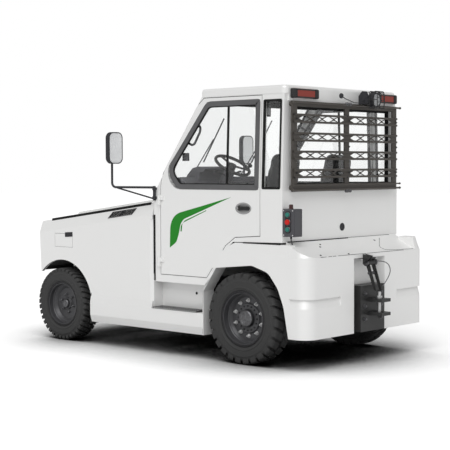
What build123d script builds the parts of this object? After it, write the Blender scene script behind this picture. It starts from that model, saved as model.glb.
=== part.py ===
"""Electric baggage tractor with a closed two-seat cab, as an assembly of real pieces.

Millimetres, X forwards, Y to the left, Z up. The origin is on the ground, in the
middle of the overall length and width.
"""

import os
from math import atan2, cos, radians, sin, tan

from build123d import *

os.makedirs("parts", exist_ok=True)

# Wheels and axles
WHEELBASE = 2500.0
REAR_AXLE_X = -1000.0
FRONT_AXLE_X = REAR_AXLE_X + WHEELBASE
REAR_TYRE_D = 836.0
REAR_TYRE_W = 235.0
REAR_RIM_D = 500.0
FRONT_TYRE_D = 750.0
FRONT_TYRE_W = 215.0
FRONT_RIM_D = 452.0
REAR_TYRE_OUTER_Y = 914.0
FRONT_TYRE_OUTER_Y = 920.0
REAR_TRACK_HALF = REAR_TYRE_OUTER_Y - REAR_TYRE_W / 2
FRONT_TRACK_HALF = FRONT_TYRE_OUTER_Y - FRONT_TYRE_W / 2
REAR_AXLE_Z = REAR_TYRE_D / 2
FRONT_AXLE_Z = FRONT_TYRE_D / 2
KINGPIN_Y = 655.0
SHAFT_CLEARANCE = 0.05
SEAT_GAP = 0.3

# Overall body
FRONT_END_X = 1950.0
HITCH_END_X = -1950.0
BODY_SIDE_Y = 900.0
BODY_FRONT_X = 1860.0
BODY_REAR_X = -1764.0
SKIRT_Y = 914.0
PANEL_T = 30.0
SEAM = 6.0

# Frame
RAIL_INNER_Y = 365.0
RAIL_OUTER_Y = 455.0
RAIL_BOTTOM_Z = 500.0
RAIL_TOP_Z = 660.0
FRAME_FRONT_X = 1820.0

# Sill and steps
SILL_FRONT_X = 1053.0
SILL_REAR_X = -519.0
SILL_BOTTOM_Z = 225.0
SILL_CREASE_Z = 298.0
SILL_TOP_Z = 431.0
SILL_SHOULDER_Z = 500.0
SILL_INNER_Y = 760.0
STEP_FRONT_X = 150.0
STEP_REAR_X = -433.0
STEP_TOP_Z = 443.0

# Cab
DOOR_Y = 884.0
BELT_Z = 1590.0
LEAN_DEG = 2.2
DOOR_T = 40.0
CAB_WALL_T = 45.0
CAB_REAR_X = -1457.0
CAB_FRONT_X = 150.0
CAB_BOTTOM_Z = 693.0
FLOOR_Z = 800.0
FLOOR_T = 25.0
PLATFORM_Z = 1150.0
RISER_X = -600.0
ROOF_BOTTOM_Z = 2445.0
ROOF_TOP_Z = ROOF_BOTTOM_Z + 73.0
GLASS_T = 6.0

# Door
DOOR_FRONT_X = 56.0
DOOR_REAR_X = -1195.0
DOOR_BOTTOM_Z = 768.0
DOOR_TOP_Z = ROOF_BOTTOM_Z - 13.0
DOOR_GAP = 6.0
HINGE_X = 62.0
HINGE_Y = 906.0
HINGE_R = 11.0
HINGE_LENGTH = 46.0
HINGE_HEIGHTS = (885.0, 1480.0)

# Rear body
FENDER_TOP_Z = 1113.0
FENDER_CREASE_Z = 1018.0
DECK_SEAM_Z = 1000.0
COUNTERWEIGHT_FRONT_X = -1560.0
FRAME_REAR_X = COUNTERWEIGHT_FRONT_X
COUNTERWEIGHT_BOTTOM_Z = 285.0
COUNTERWEIGHT_HALF_W = 920.0
CORNER_R = 130.0

# Hitch
HITCH_PLATE_X = -1800.0
HITCH_PIN_X = -1874.0
HITCH_PIN_R = 15.0
JAW_T = 30.0
JAW_UPPER_Z = 580.0
JAW_LOWER_Z = 455.0

# Steering
WHEEL_CENTRE = (-440.0, 400.0, 1810.0)
COLUMN_TILT = 32.0
STEERING_WHEEL_R = 190.0
STEERING_RIM_R = 15.0

# Bonnet
BONNET_REAR_X = 200.0
BONNET_HALF_W = 845.0


def side_plane(y):
    """Plane at the height y of the left side: sketch axes X and Z, extruding towards -Y."""
    return Plane.XZ.offset(-y)


def save(builder, name):
    """Label a finished piece and write it."""
    builder.part.label = name
    export_step(builder.part, f"parts/{name}.step")


def save_mirrored(builder, name):
    """Write the same piece for the right-hand side."""
    with BuildPart() as other:
        mirror(builder.part, about=Plane.XZ)
    save(other, name)


def polygon(points):
    """Closed straight-sided outline in the current sketch."""
    Polygon(*points, align=None)


def block(x_range, y_range, z_range):
    """Rectangular block between the given limits, in the current part."""
    with Locations((sum(x_range) / 2, sum(y_range) / 2, sum(z_range) / 2)):
        Box(x_range[1] - x_range[0], y_range[1] - y_range[0], z_range[1] - z_range[0])


def lean(z):
    """How far the cab side leans inwards at a height."""
    return max(0.0, z - BELT_Z) * tan(radians(LEAN_DEG))


def leaning_wall(outer_y, thickness, bottom_z, top_z, x_range):
    """Wall along the cab side: upright below the belt line, leaning inwards above it."""
    section = [
        (outer_y, bottom_z),
        (outer_y, BELT_Z),
        (outer_y - lean(top_z), top_z),
        (outer_y - lean(top_z) - thickness, top_z),
        (outer_y - thickness, BELT_Z),
        (outer_y - thickness, bottom_z),
    ]
    with BuildSketch(Plane.YZ.offset(x_range[0])) as wall:
        polygon(section)
    extrude(wall.sketch, amount=x_range[1] - x_range[0])


def wheel_plane(x, y, z):
    """Plane of a wheel's axis: sketch X is the radius, sketch Y runs outwards along +Y."""
    return Plane(origin=(x, y, z), x_dir=(1, 0, 0), z_dir=(0, 0, 1))


def rod(start, end, radius):
    """Round bar between two points, in the current part."""
    run = Vector(*end) - Vector(*start)
    with BuildSketch(Plane(origin=start, z_dir=run.normalized())) as section:
        Circle(radius)
    extrude(section.sketch, amount=run.length)


# Frame rails with cross members
CROSS_MEMBERS = (  # front x, rear x, half width, bottom z, top z
    (1820.0, 1740.0, RAIL_INNER_Y, RAIL_BOTTOM_Z, RAIL_TOP_Z),
    (990.0, 920.0, SILL_INNER_Y, 400.0, RAIL_BOTTOM_Z),
    (-400.0, -470.0, SILL_INNER_Y, 400.0, RAIL_BOTTOM_Z),
    (FRAME_REAR_X + 60, FRAME_REAR_X, RAIL_INNER_Y, RAIL_BOTTOM_Z, RAIL_TOP_Z),
)
CAB_MOUNTS = (  # x, top z
    (60.0, FLOOR_Z - FLOOR_T),
    (-430.0, FLOOR_Z - FLOOR_T),
    (-1390.0, PLATFORM_Z - FLOOR_T),
)
CAB_MOUNT_HALF = 40.0
RAIL_Y = (RAIL_INNER_Y + RAIL_OUTER_Y) / 2
with BuildPart() as chassis_frame:
    for side in (1, -1):
        inner, outer = sorted((side * RAIL_INNER_Y, side * RAIL_OUTER_Y))
        block((FRAME_REAR_X, FRAME_FRONT_X), (inner, outer), (RAIL_BOTTOM_Z, RAIL_TOP_Z))
    for front_x, rear_x, half_width, bottom_z, top_z in CROSS_MEMBERS:
        block((rear_x, front_x), (-half_width, half_width), (bottom_z, top_z))
    for x, top_z in CAB_MOUNTS:
        for y in (-RAIL_Y, RAIL_Y):
            block(
                (x - CAB_MOUNT_HALF, x + CAB_MOUNT_HALF),
                (y - CAB_MOUNT_HALF, y + CAB_MOUNT_HALF),
                (RAIL_TOP_Z, top_z),
            )
save(chassis_frame, "chassis_frame")

# Battery pack on the rails, ahead of the cab
BATTERY_X = (200.0, 900.0)
BATTERY_HALF_W = 560.0
BATTERY_TOP_Z = 1150.0
with BuildPart() as battery_pack:
    block(BATTERY_X, (-BATTERY_HALF_W, BATTERY_HALF_W), (RAIL_TOP_Z, BATTERY_TOP_Z))
save(battery_pack, "battery_pack")

# Side sills from the front wheel to the rear wheel, with a step well under each door
with BuildPart() as side_sills:
    with BuildSketch(Plane.YZ.offset(SILL_REAR_X)):
        polygon([
            (SKIRT_Y - 22, SILL_BOTTOM_Z),
            (SKIRT_Y, SILL_CREASE_Z),
            (SKIRT_Y, SILL_TOP_Z),
            (BODY_SIDE_Y, SILL_SHOULDER_Z),
            (SILL_INNER_Y, SILL_SHOULDER_Z),
            (SILL_INNER_Y, SILL_BOTTOM_Z),
        ])
    extrude(amount=SILL_FRONT_X - SILL_REAR_X)
    with BuildSketch(side_plane(SKIRT_Y + 10)):
        with BuildLine():
            Polyline(
                (SILL_REAR_X - 10, SILL_TOP_Z),
                (CAB_FRONT_X + 10, SILL_TOP_Z),
                (CAB_FRONT_X + 10, SILL_SHOULDER_Z + 10),
                (SILL_REAR_X - 10, SILL_SHOULDER_Z + 10),
                close=True,
            )
        make_face()
    extrude(amount=SKIRT_Y - SILL_INNER_Y + 20, mode=Mode.SUBTRACT)
    mirror(about=Plane.XZ)
save(side_sills, "side_sills")

# Step wells: the wall that stands on the sill behind each step
STEP_WALL_T = 12.0
STEP_WALL_X = (SILL_REAR_X, CAB_FRONT_X)
with BuildPart() as step_wells:
    block(STEP_WALL_X, (SILL_INNER_Y, SILL_INNER_Y + STEP_WALL_T), (SILL_TOP_Z, CAB_BOTTOM_Z))
    mirror(about=Plane.XZ)
save(step_wells, "step_wells")

# Step treads lying on the sills
with BuildPart() as step_treads:
    block((STEP_REAR_X, STEP_FRONT_X), (SILL_INNER_Y + STEP_WALL_T, SKIRT_Y), (SILL_TOP_Z, STEP_TOP_Z))
    mirror(about=Plane.XZ)
save(step_treads, "step_treads")

# Front body sides with the wheel arch and the sloping shoulder
ARCH_R = 462.0
CREASE_FRONT_Z = 1112.0
CREASE_REAR_Z = 1336.0
SHOULDER_RISE = 115.0
SHOULDER_IN = 42.0
SHOULDER_TOP_Y = BODY_SIDE_Y - SHOULDER_IN
SHOULDER_STEP = 8.0
FENDER_REAR_X = CAB_FRONT_X + 8
EDGE_CHAMFER = (34.0, 18.0)
POCKET_CENTRE = (1474.0, 1040.0)
POCKET_SIZE = (284.0, 141.0)
POCKET_GROOVE = 4.0


def crease_z(x):
    """Height of the crease between the side and the shoulder."""
    share = (x - FENDER_REAR_X) / (BODY_FRONT_X - FENDER_REAR_X)
    return CREASE_REAR_Z + share * (CREASE_FRONT_Z - CREASE_REAR_Z)


def shoulder_top_z(x):
    """Height of the shoulder's inner edge, where the bonnet begins."""
    return crease_z(x) + SHOULDER_RISE


with BuildPart() as front_fenders:
    with BuildSketch(side_plane(BODY_SIDE_Y)):
        polygon([
            (FENDER_REAR_X, SILL_SHOULDER_Z),
            (SILL_FRONT_X, SILL_SHOULDER_Z),
            (BODY_FRONT_X - 20, 700.0),
            (BODY_FRONT_X, crease_z(BODY_FRONT_X)),
            (FENDER_REAR_X, crease_z(FENDER_REAR_X)),
        ])
        with Locations((FRONT_AXLE_X, FRONT_AXLE_Z)):
            Circle(ARCH_R, mode=Mode.SUBTRACT)
    extrude(amount=PANEL_T)
    for x in (FENDER_REAR_X, BODY_FRONT_X):
        with BuildSketch(Plane.YZ.offset(x)):
            polygon([
                (BODY_SIDE_Y, crease_z(x)),
                (SHOULDER_TOP_Y, shoulder_top_z(x)),
                (SHOULDER_TOP_Y - PANEL_T, shoulder_top_z(x) - SHOULDER_STEP),
                (BODY_SIDE_Y - PANEL_T, crease_z(x) - SHOULDER_STEP),
            ])
    loft()
    with BuildSketch(Plane.XY.offset(SILL_SHOULDER_Z - 1)):
        polygon([
            (FENDER_REAR_X - 1, BODY_SIDE_Y + 1),
            (FENDER_REAR_X + EDGE_CHAMFER[0], BODY_SIDE_Y + 1),
            (FENDER_REAR_X + EDGE_CHAMFER[0], BODY_SIDE_Y),
            (FENDER_REAR_X - 1, BODY_SIDE_Y - EDGE_CHAMFER[1]),
        ])
    extrude(amount=crease_z(FENDER_REAR_X) - SILL_SHOULDER_Z - 40, mode=Mode.SUBTRACT)
    with BuildSketch(side_plane(BODY_SIDE_Y)):
        with Locations(POCKET_CENTRE):
            Rectangle(*POCKET_SIZE)
            Rectangle(POCKET_SIZE[0] - 2 * POCKET_GROOVE, POCKET_SIZE[1] - 2 * POCKET_GROOVE, mode=Mode.SUBTRACT)
    extrude(amount=POCKET_GROOVE, mode=Mode.SUBTRACT)
    mirror(about=Plane.XZ)
save(front_fenders, "front_fenders")

# Wheel liners over the steered wheels
LINER_R = 478.0
LINER_T = 8.0
LINER_INNER_Y = RAIL_OUTER_Y + 4
LINER_START = 52.0
LINER_SWEEP = 112.5
WELL_WALL_X = 1018.0
with BuildPart() as wheel_liners:
    with BuildSketch(side_plane(BODY_SIDE_Y - PANEL_T)):
        with BuildLine():
            outer_arc = CenterArc((FRONT_AXLE_X, FRONT_AXLE_Z), LINER_R + LINER_T, LINER_START, LINER_SWEEP)
            inner_arc = CenterArc((FRONT_AXLE_X, FRONT_AXLE_Z), LINER_R, LINER_START, LINER_SWEEP)
            Line(outer_arc @ 0, inner_arc @ 0)
            Line(outer_arc @ 1, inner_arc @ 1)
        make_face()
    extrude(amount=BODY_SIDE_Y - PANEL_T - LINER_INNER_Y)
    block(
        (WELL_WALL_X, WELL_WALL_X + LINER_T),
        (LINER_INNER_Y, SILL_INNER_Y),
        (SILL_BOTTOM_Z, SILL_SHOULDER_Z + 4),
    )
    mirror(about=Plane.XZ)
save(wheel_liners, "wheel_liners")

# Front panel between the fenders, narrow at the bottom where the wheels swing
FASCIA_T = 30.0
FASCIA_TOP_Z = shoulder_top_z(BODY_FRONT_X) - 12
FASCIA_NARROW_Y = 440.0
FASCIA_WIDE_Z = 745.0
FASCIA_BOTTOM_Z = 640.3
GRILLE_HALF_W = 330.0
GRILLE_Z = (760.0, 985.0)
HEADLAMP_Y = 610.0
HEADLAMP_SIZE = (270.0, 130.0)
HEADLAMP_Z = 1010.0
FASCIA_X = BODY_FRONT_X - FASCIA_T
with BuildPart() as front_fascia:
    with BuildSketch(Plane.YZ.offset(FASCIA_X)):
        polygon([
            (FASCIA_NARROW_Y, FASCIA_BOTTOM_Z),
            (FASCIA_NARROW_Y, FASCIA_WIDE_Z),
            (BODY_SIDE_Y - PANEL_T - SEAM, FASCIA_WIDE_Z),
            (BODY_SIDE_Y - PANEL_T - SEAM, crease_z(BODY_FRONT_X) - 20),
            (SHOULDER_TOP_Y - PANEL_T - SEAM, FASCIA_TOP_Z),
            (-SHOULDER_TOP_Y + PANEL_T + SEAM, FASCIA_TOP_Z),
            (-BODY_SIDE_Y + PANEL_T + SEAM, crease_z(BODY_FRONT_X) - 20),
            (-BODY_SIDE_Y + PANEL_T + SEAM, FASCIA_WIDE_Z),
            (-FASCIA_NARROW_Y, FASCIA_WIDE_Z),
            (-FASCIA_NARROW_Y, FASCIA_BOTTOM_Z),
        ])
        with Locations((0, sum(GRILLE_Z) / 2)):
            Rectangle(2 * GRILLE_HALF_W, GRILLE_Z[1] - GRILLE_Z[0], mode=Mode.SUBTRACT)
        with Locations((HEADLAMP_Y, HEADLAMP_Z), (-HEADLAMP_Y, HEADLAMP_Z)):
            Rectangle(*HEADLAMP_SIZE, mode=Mode.SUBTRACT)
    extrude(amount=FASCIA_T)
save(front_fascia, "front_fascia")

# Slatted grille
SLAT_COUNT = 5
with BuildPart() as front_grille:
    with BuildSketch(Plane.YZ.offset(FASCIA_X + 4)):
        with Locations((0, sum(GRILLE_Z) / 2)):
            Rectangle(2 * GRILLE_HALF_W, GRILLE_Z[1] - GRILLE_Z[0])
            Rectangle(2 * GRILLE_HALF_W - 50, GRILLE_Z[1] - GRILLE_Z[0] - 50, mode=Mode.SUBTRACT)
            with GridLocations(0, (GRILLE_Z[1] - GRILLE_Z[0] - 50) / SLAT_COUNT, 1, SLAT_COUNT):
                Rectangle(2 * GRILLE_HALF_W - 45, 14)
    extrude(amount=18)
save(front_grille, "front_grille")

# Headlamps in their recesses
with BuildPart() as headlamps:
    with BuildSketch(Plane.YZ.offset(FASCIA_X - 40)):
        with Locations((HEADLAMP_Y, HEADLAMP_Z), (-HEADLAMP_Y, HEADLAMP_Z)):
            RectangleRounded(HEADLAMP_SIZE[0] - 2 * SEAT_GAP, HEADLAMP_SIZE[1] - 2 * SEAT_GAP, 12)
    extrude(amount=FASCIA_T + 36)
save(headlamps, "headlamps")

# Cowl panel between the bonnet and the cab, with the fixed halves of the bonnet hinges
FRONT_WALL_X = (95.0, 125.0)
COWL_T = 25.0
COWL_TOP_Z = shoulder_top_z(BONNET_REAR_X) - 2
BONNET_HINGE_R = 8.0
BONNET_HINGE_X = BONNET_REAR_X - 4
BONNET_HINGE_Z = COWL_TOP_Z + BONNET_HINGE_R + 2.3
BONNET_HINGE_YS = (-760.0, 760.0)
BONNET_BARREL = 36.0
with BuildPart() as cowl_panel:
    block((FRONT_WALL_X[1], BONNET_REAR_X - 4), (-BONNET_HALF_W + 20, BONNET_HALF_W - 20), (COWL_TOP_Z - COWL_T, COWL_TOP_Z))
    for y in BONNET_HINGE_YS:
        with BuildSketch(side_plane(y)):
            with Locations((BONNET_HINGE_X, BONNET_HINGE_Z)):
                Circle(BONNET_HINGE_R)
            with Locations((BONNET_HINGE_X - 14, COWL_TOP_Z + 2.5)):
                Rectangle(28, 6)
        extrude(amount=BONNET_BARREL - 0.5)
save(cowl_panel, "cowl_panel")

# Bonnet: the lid between the shoulders with a raised middle
BONNET_T = 22.0
BONNET_FRONT_X = BODY_FRONT_X - 2
DOME_HALF_W = 700.0
DOME_FRONT_X = 1515.0
DOME_RISE = 48.0
with BuildPart() as bonnet:
    with BuildSketch(side_plane(BONNET_HALF_W - 20)):
        polygon([
            (BONNET_REAR_X, shoulder_top_z(BONNET_REAR_X)),
            (BONNET_FRONT_X, shoulder_top_z(BONNET_FRONT_X)),
            (BONNET_FRONT_X, shoulder_top_z(BONNET_FRONT_X) - BONNET_T + 12),
            (BONNET_REAR_X, shoulder_top_z(BONNET_REAR_X) - BONNET_T),
        ])
    extrude(amount=2 * (BONNET_HALF_W - 20))
    with BuildSketch(side_plane(DOME_HALF_W)):
        polygon([
            (BONNET_REAR_X, shoulder_top_z(BONNET_REAR_X) - 10),
            (BONNET_REAR_X, shoulder_top_z(BONNET_REAR_X) + DOME_RISE),
            (DOME_FRONT_X - 60, shoulder_top_z(DOME_FRONT_X - 60) + DOME_RISE),
            (DOME_FRONT_X, shoulder_top_z(DOME_FRONT_X) - 10),
        ])
    extrude(amount=2 * DOME_HALF_W)
    with BuildSketch(side_plane(DOME_HALF_W - BONNET_T)):
        polygon([
            (BONNET_REAR_X + BONNET_T, shoulder_top_z(BONNET_REAR_X) - BONNET_T - 1),
            (BONNET_REAR_X + BONNET_T, shoulder_top_z(BONNET_REAR_X) + DOME_RISE - BONNET_T),
            (DOME_FRONT_X - 80, shoulder_top_z(DOME_FRONT_X - 80) + DOME_RISE - BONNET_T),
            (DOME_FRONT_X - 40, shoulder_top_z(DOME_FRONT_X - 40) - BONNET_T - 1),
        ])
    extrude(amount=2 * (DOME_HALF_W - BONNET_T), mode=Mode.SUBTRACT)
    for y in BONNET_HINGE_YS:
        with BuildSketch(side_plane(y + BONNET_BARREL)):
            with Locations((BONNET_HINGE_X, BONNET_HINGE_Z)):
                Circle(BONNET_HINGE_R)
            with Locations((BONNET_HINGE_X + 15, BONNET_HINGE_Z - 5)):
                Rectangle(30, 9)
        extrude(amount=BONNET_BARREL)
save(bonnet, "bonnet")

# Front bumper: a heavy block between the wheels with a jaw for a tow pin
BUMPER_HALF_W = 430.0
BUMPER_Z = (330.0, 640.0)
TOW_SLOT_Z = (440.0, 530.0)
TOW_SLOT_HALF_W = 120.0
TOW_BORE_R = 16.0
TOW_BORE_X = FRONT_END_X - 55.0
with BuildPart() as front_bumper:
    block((FRAME_FRONT_X, FRONT_END_X), (-BUMPER_HALF_W, BUMPER_HALF_W), BUMPER_Z)
    block_edges = front_bumper.edges().filter_by(Axis.Z).group_by(Axis.X)[-1]
    fillet(block_edges, radius=45)
    with BuildSketch(Plane.XY.offset(TOW_SLOT_Z[0])):
        with Locations((FRONT_END_X, 0)):
            Rectangle(2 * 100.0, 2 * TOW_SLOT_HALF_W)
    extrude(amount=TOW_SLOT_Z[1] - TOW_SLOT_Z[0], mode=Mode.SUBTRACT)
    with Locations((TOW_BORE_X, 0, BUMPER_Z[1])):
        Hole(TOW_BORE_R)
save(front_bumper, "front_bumper")

# Cab floor: foot well, riser and seat platform, with the front wall
FLOOR_HALF_W = DOOR_Y - CAB_WALL_T - 1
with BuildPart() as cab_floor:
    with BuildSketch(side_plane(FLOOR_HALF_W)):
        polygon([
            (FRONT_WALL_X[1], FLOOR_Z - FLOOR_T),
            (FRONT_WALL_X[1], BELT_Z),
            (FRONT_WALL_X[0], BELT_Z),
            (FRONT_WALL_X[0], FLOOR_Z),
            (RISER_X + FLOOR_T, FLOOR_Z),
            (RISER_X + FLOOR_T, PLATFORM_Z),
            (CAB_REAR_X + CAB_WALL_T, PLATFORM_Z),
            (CAB_REAR_X + CAB_WALL_T, PLATFORM_Z - FLOOR_T),
            (RISER_X, PLATFORM_Z - FLOOR_T),
            (RISER_X, FLOOR_Z - FLOOR_T),
        ])
    extrude(amount=2 * FLOOR_HALF_W)
save(cab_floor, "cab_floor")

# Outlines of the cab side, the door and the windows, in X and Z
A_PILLAR_TOP = (-460.0, ROOF_BOTTOM_Z)
WINDOW_BORDER = 19.0
WINDOW_HEADER = 35.0


def door_outline(grow):
    """Door edge, grown outwards by a gap, as a face in the current sketch."""
    with BuildLine() as edge:
        bottom = DOOR_BOTTOM_Z - grow
        front = DOOR_FRONT_X + grow
        rear = DOOR_REAR_X - grow
        top = DOOR_TOP_Z + grow
        Polyline(
            (front, bottom),
            (-542.0 - grow * 0.4, bottom),
            (-779.0 - grow * 0.8, 1076.0 - grow * 0.6),
            (-898.0 - grow * 0.4, 1157.0 - grow),
            (rear, 1178.0 - grow),
            (rear, top),
            (-490.0 + grow * 0.6, top),
            (-408.0 + grow * 0.8, DOOR_TOP_Z - 66.0 + grow * 0.6),
            (-8.0 + grow * 0.9, BELT_Z + 200.0 + grow * 0.5),
        )
        ThreePointArc(
            (-8.0 + grow * 0.9, BELT_Z + 200.0 + grow * 0.5),
            (40.0 + grow, BELT_Z + 100.0),
            (front, BELT_Z),
        )
        Line((front, BELT_Z), (front, bottom))
    make_face(edge.edges())


def window_outline(shrink):
    """Door window edge, shrunk inwards, as a face in the current sketch."""
    with BuildLine() as edge:
        bottom = BELT_Z + shrink
        rear = DOOR_REAR_X + WINDOW_BORDER + shrink
        top = DOOR_TOP_Z - WINDOW_HEADER - shrink
        points = (
            (-163.0 - shrink * 0.3, bottom),
            (rear, bottom),
            (rear, top),
            (-528.0 - shrink * 0.5, top),
            (-50.0 - shrink * 0.9, BELT_Z + 223.0 - shrink * 0.3),
        )
        Polyline(*points)
        ThreePointArc(points[-1], (-48.0 - shrink * 0.9, BELT_Z + 100.0 + shrink * 0.3), points[0])
    make_face(edge.edges())


CAB_X_RANGE = (CAB_REAR_X, CAB_FRONT_X)
QUARTER_WINDOW_X = (CAB_REAR_X + 29.0, DOOR_REAR_X - 27.0)
QUARTER_WINDOW_Z = (BELT_Z + 10.0, DOOR_TOP_Z - 42.0)
with BuildPart() as cab_sides:
    leaning_wall(DOOR_Y, CAB_WALL_T, CAB_BOTTOM_Z, ROOF_BOTTOM_Z, CAB_X_RANGE)
    with BuildSketch(side_plane(DOOR_Y + 10)):
        polygon([
            (CAB_FRONT_X, CAB_BOTTOM_Z),
            (SILL_REAR_X, CAB_BOTTOM_Z),
            (-700.0, 900.0),
            (-830.0, 1075.0),
            (-873.0, FENDER_TOP_Z),
            (CAB_REAR_X, FENDER_TOP_Z + 12),
            (CAB_REAR_X, ROOF_BOTTOM_Z),
            A_PILLAR_TOP,
            (100.0, BELT_Z + 20),
            (CAB_FRONT_X, BELT_Z - 60),
        ])
    extrude(amount=200, mode=Mode.INTERSECT)
    with BuildSketch(side_plane(DOOR_Y + 10)):
        door_outline(DOOR_GAP)
        with Locations((sum(QUARTER_WINDOW_X) / 2, sum(QUARTER_WINDOW_Z) / 2)):
            Rectangle(QUARTER_WINDOW_X[1] - QUARTER_WINDOW_X[0], QUARTER_WINDOW_Z[1] - QUARTER_WINDOW_Z[0])
    extrude(amount=200, mode=Mode.SUBTRACT)
    for hinge_z in HINGE_HEIGHTS:
        with BuildSketch(Plane.XY.offset(hinge_z - HINGE_LENGTH)):
            with Locations((HINGE_X, HINGE_Y)):
                Circle(HINGE_R)
            with Locations((HINGE_X + 22, DOOR_Y + 5)):
                Rectangle(44, 12)
            with Locations((HINGE_X, DOOR_Y + 12)):
                Rectangle(16, 20)
        extrude(amount=HINGE_LENGTH - 0.5)
    mirror(about=Plane.XZ)
save(cab_sides, "cab_sides")

# Doors with their window opening and hinge barrels
HANDLE_INSET = 195.0
HANDLE_Z = 1420.0
HANDLE_CUP = (88.0, 46.0)
HANDLE_DEPTH = 14.0
with BuildPart() as door_left:
    leaning_wall(DOOR_Y, DOOR_T, DOOR_BOTTOM_Z - 20, DOOR_TOP_Z + 20, (DOOR_REAR_X - 20, DOOR_FRONT_X + 20))
    with BuildSketch(side_plane(DOOR_Y + 10)):
        door_outline(0)
    extrude(amount=200, mode=Mode.INTERSECT)
    with BuildSketch(side_plane(DOOR_Y + 10)):
        window_outline(0)
    extrude(amount=200, mode=Mode.SUBTRACT)
    with BuildSketch(side_plane(DOOR_Y)):
        with Locations((DOOR_REAR_X + HANDLE_INSET, HANDLE_Z)):
            Ellipse(*HANDLE_CUP)
    extrude(amount=HANDLE_DEPTH, mode=Mode.SUBTRACT)
    with BuildSketch(side_plane(DOOR_Y - HANDLE_DEPTH + 8)):
        with Locations((DOOR_REAR_X + HANDLE_INSET, HANDLE_Z)):
            SlotOverall(2 * HANDLE_CUP[0] - 40, 30)
    extrude(amount=10)
    for hinge_z in HINGE_HEIGHTS:
        with BuildSketch(Plane.XY.offset(hinge_z)):
            with Locations((HINGE_X, HINGE_Y)):
                Circle(HINGE_R)
            with Locations((HINGE_X - 26, DOOR_Y + 5)):
                Rectangle(40, 12)
            with Locations((HINGE_X - 10, DOOR_Y + 14)):
                Rectangle(18, 14)
        extrude(amount=HINGE_LENGTH)
save(door_left, "door_left")
save_mirrored(door_left, "door_right")

# Door glass
GLASS_INSET = 17.0
with BuildPart() as door_glass_left:
    leaning_wall(DOOR_Y - GLASS_INSET, GLASS_T, 1500.0, DOOR_TOP_Z, (DOOR_REAR_X, DOOR_FRONT_X))
    with BuildSketch(side_plane(DOOR_Y + 10)):
        window_outline(0.2)
    extrude(amount=200, mode=Mode.INTERSECT)
save(door_glass_left, "door_glass_left")
save_mirrored(door_glass_left, "door_glass_right")

# Cab rear wall with the rear window opening
REAR_WINDOW_HALF_W = 730.0
REAR_WINDOW_Z = (BELT_Z + 30.0, ROOF_BOTTOM_Z - 105.0)
REAR_WALL_HALF_W = DOOR_Y - CAB_WALL_T - 0.3
REAR_WALL_TOP_HALF_W = REAR_WALL_HALF_W - lean(ROOF_BOTTOM_Z)
with BuildPart() as cab_rear_wall:
    with BuildSketch(Plane.YZ.offset(CAB_REAR_X)):
        polygon([
            (REAR_WALL_HALF_W, FENDER_TOP_Z + 12),
            (REAR_WALL_HALF_W, BELT_Z),
            (REAR_WALL_TOP_HALF_W, ROOF_BOTTOM_Z),
            (-REAR_WALL_TOP_HALF_W, ROOF_BOTTOM_Z),
            (-REAR_WALL_HALF_W, BELT_Z),
            (-REAR_WALL_HALF_W, FENDER_TOP_Z + 12),
        ])
        with Locations((0, sum(REAR_WINDOW_Z) / 2)):
            Rectangle(2 * REAR_WINDOW_HALF_W, REAR_WINDOW_Z[1] - REAR_WINDOW_Z[0], mode=Mode.SUBTRACT)
    extrude(amount=CAB_WALL_T - 0.3)
save(cab_rear_wall, "cab_rear_wall")

# Cab roof with the header over the windscreen
ROOF_FRONT_X = -440.0
ROOF_REAR_X = CAB_REAR_X - 12.0
ROOF_CORNER_R = 50.0
ROOF_EDGE_R = 30.0
FASCIA_DROP = 65.0
ROOF_HALF_W = DOOR_Y - lean(ROOF_BOTTOM_Z) + 4
with BuildPart() as cab_roof:
    block((ROOF_REAR_X, ROOF_FRONT_X), (-ROOF_HALF_W, ROOF_HALF_W), (ROOF_BOTTOM_Z, ROOF_TOP_Z))
    fillet(cab_roof.edges().filter_by(Axis.Z), radius=ROOF_CORNER_R)
    fillet(cab_roof.faces().sort_by(Axis.Z)[-1].edges(), radius=ROOF_EDGE_R)
    block(
        (ROOF_REAR_X, CAB_REAR_X - SEAT_GAP),
        (-ROOF_HALF_W + ROOF_CORNER_R, ROOF_HALF_W - ROOF_CORNER_R),
        (ROOF_BOTTOM_Z - FASCIA_DROP, ROOF_BOTTOM_Z + 2),
    )
save(cab_roof, "cab_roof")

# Windscreen, rear window and quarter windows
SCREEN_BOTTOM = (104.0, BELT_Z + 0.3)
SCREEN_TOP = (-455.0, ROOF_BOTTOM_Z - 0.3)
SCREEN_HALF_W = DOOR_Y - CAB_WALL_T - lean(ROOF_BOTTOM_Z) - 0.3
SCREEN_ANGLE = atan2(SCREEN_TOP[1] - SCREEN_BOTTOM[1], SCREEN_BOTTOM[0] - SCREEN_TOP[0])
SCREEN_T = 8.0
with BuildPart() as cab_windows:
    shift = SCREEN_T / sin(SCREEN_ANGLE)
    with BuildSketch(side_plane(SCREEN_HALF_W)):
        polygon([
            SCREEN_BOTTOM,
            SCREEN_TOP,
            (SCREEN_TOP[0] - shift, SCREEN_TOP[1]),
            (SCREEN_BOTTOM[0] - shift, SCREEN_BOTTOM[1]),
        ])
    extrude(amount=2 * SCREEN_HALF_W)
    block(
        (CAB_REAR_X + 18, CAB_REAR_X + 18 + GLASS_T),
        (-REAR_WINDOW_HALF_W + 0.2, REAR_WINDOW_HALF_W - 0.2),
        (REAR_WINDOW_Z[0] + 0.2, REAR_WINDOW_Z[1] - 0.2),
    )

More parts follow.
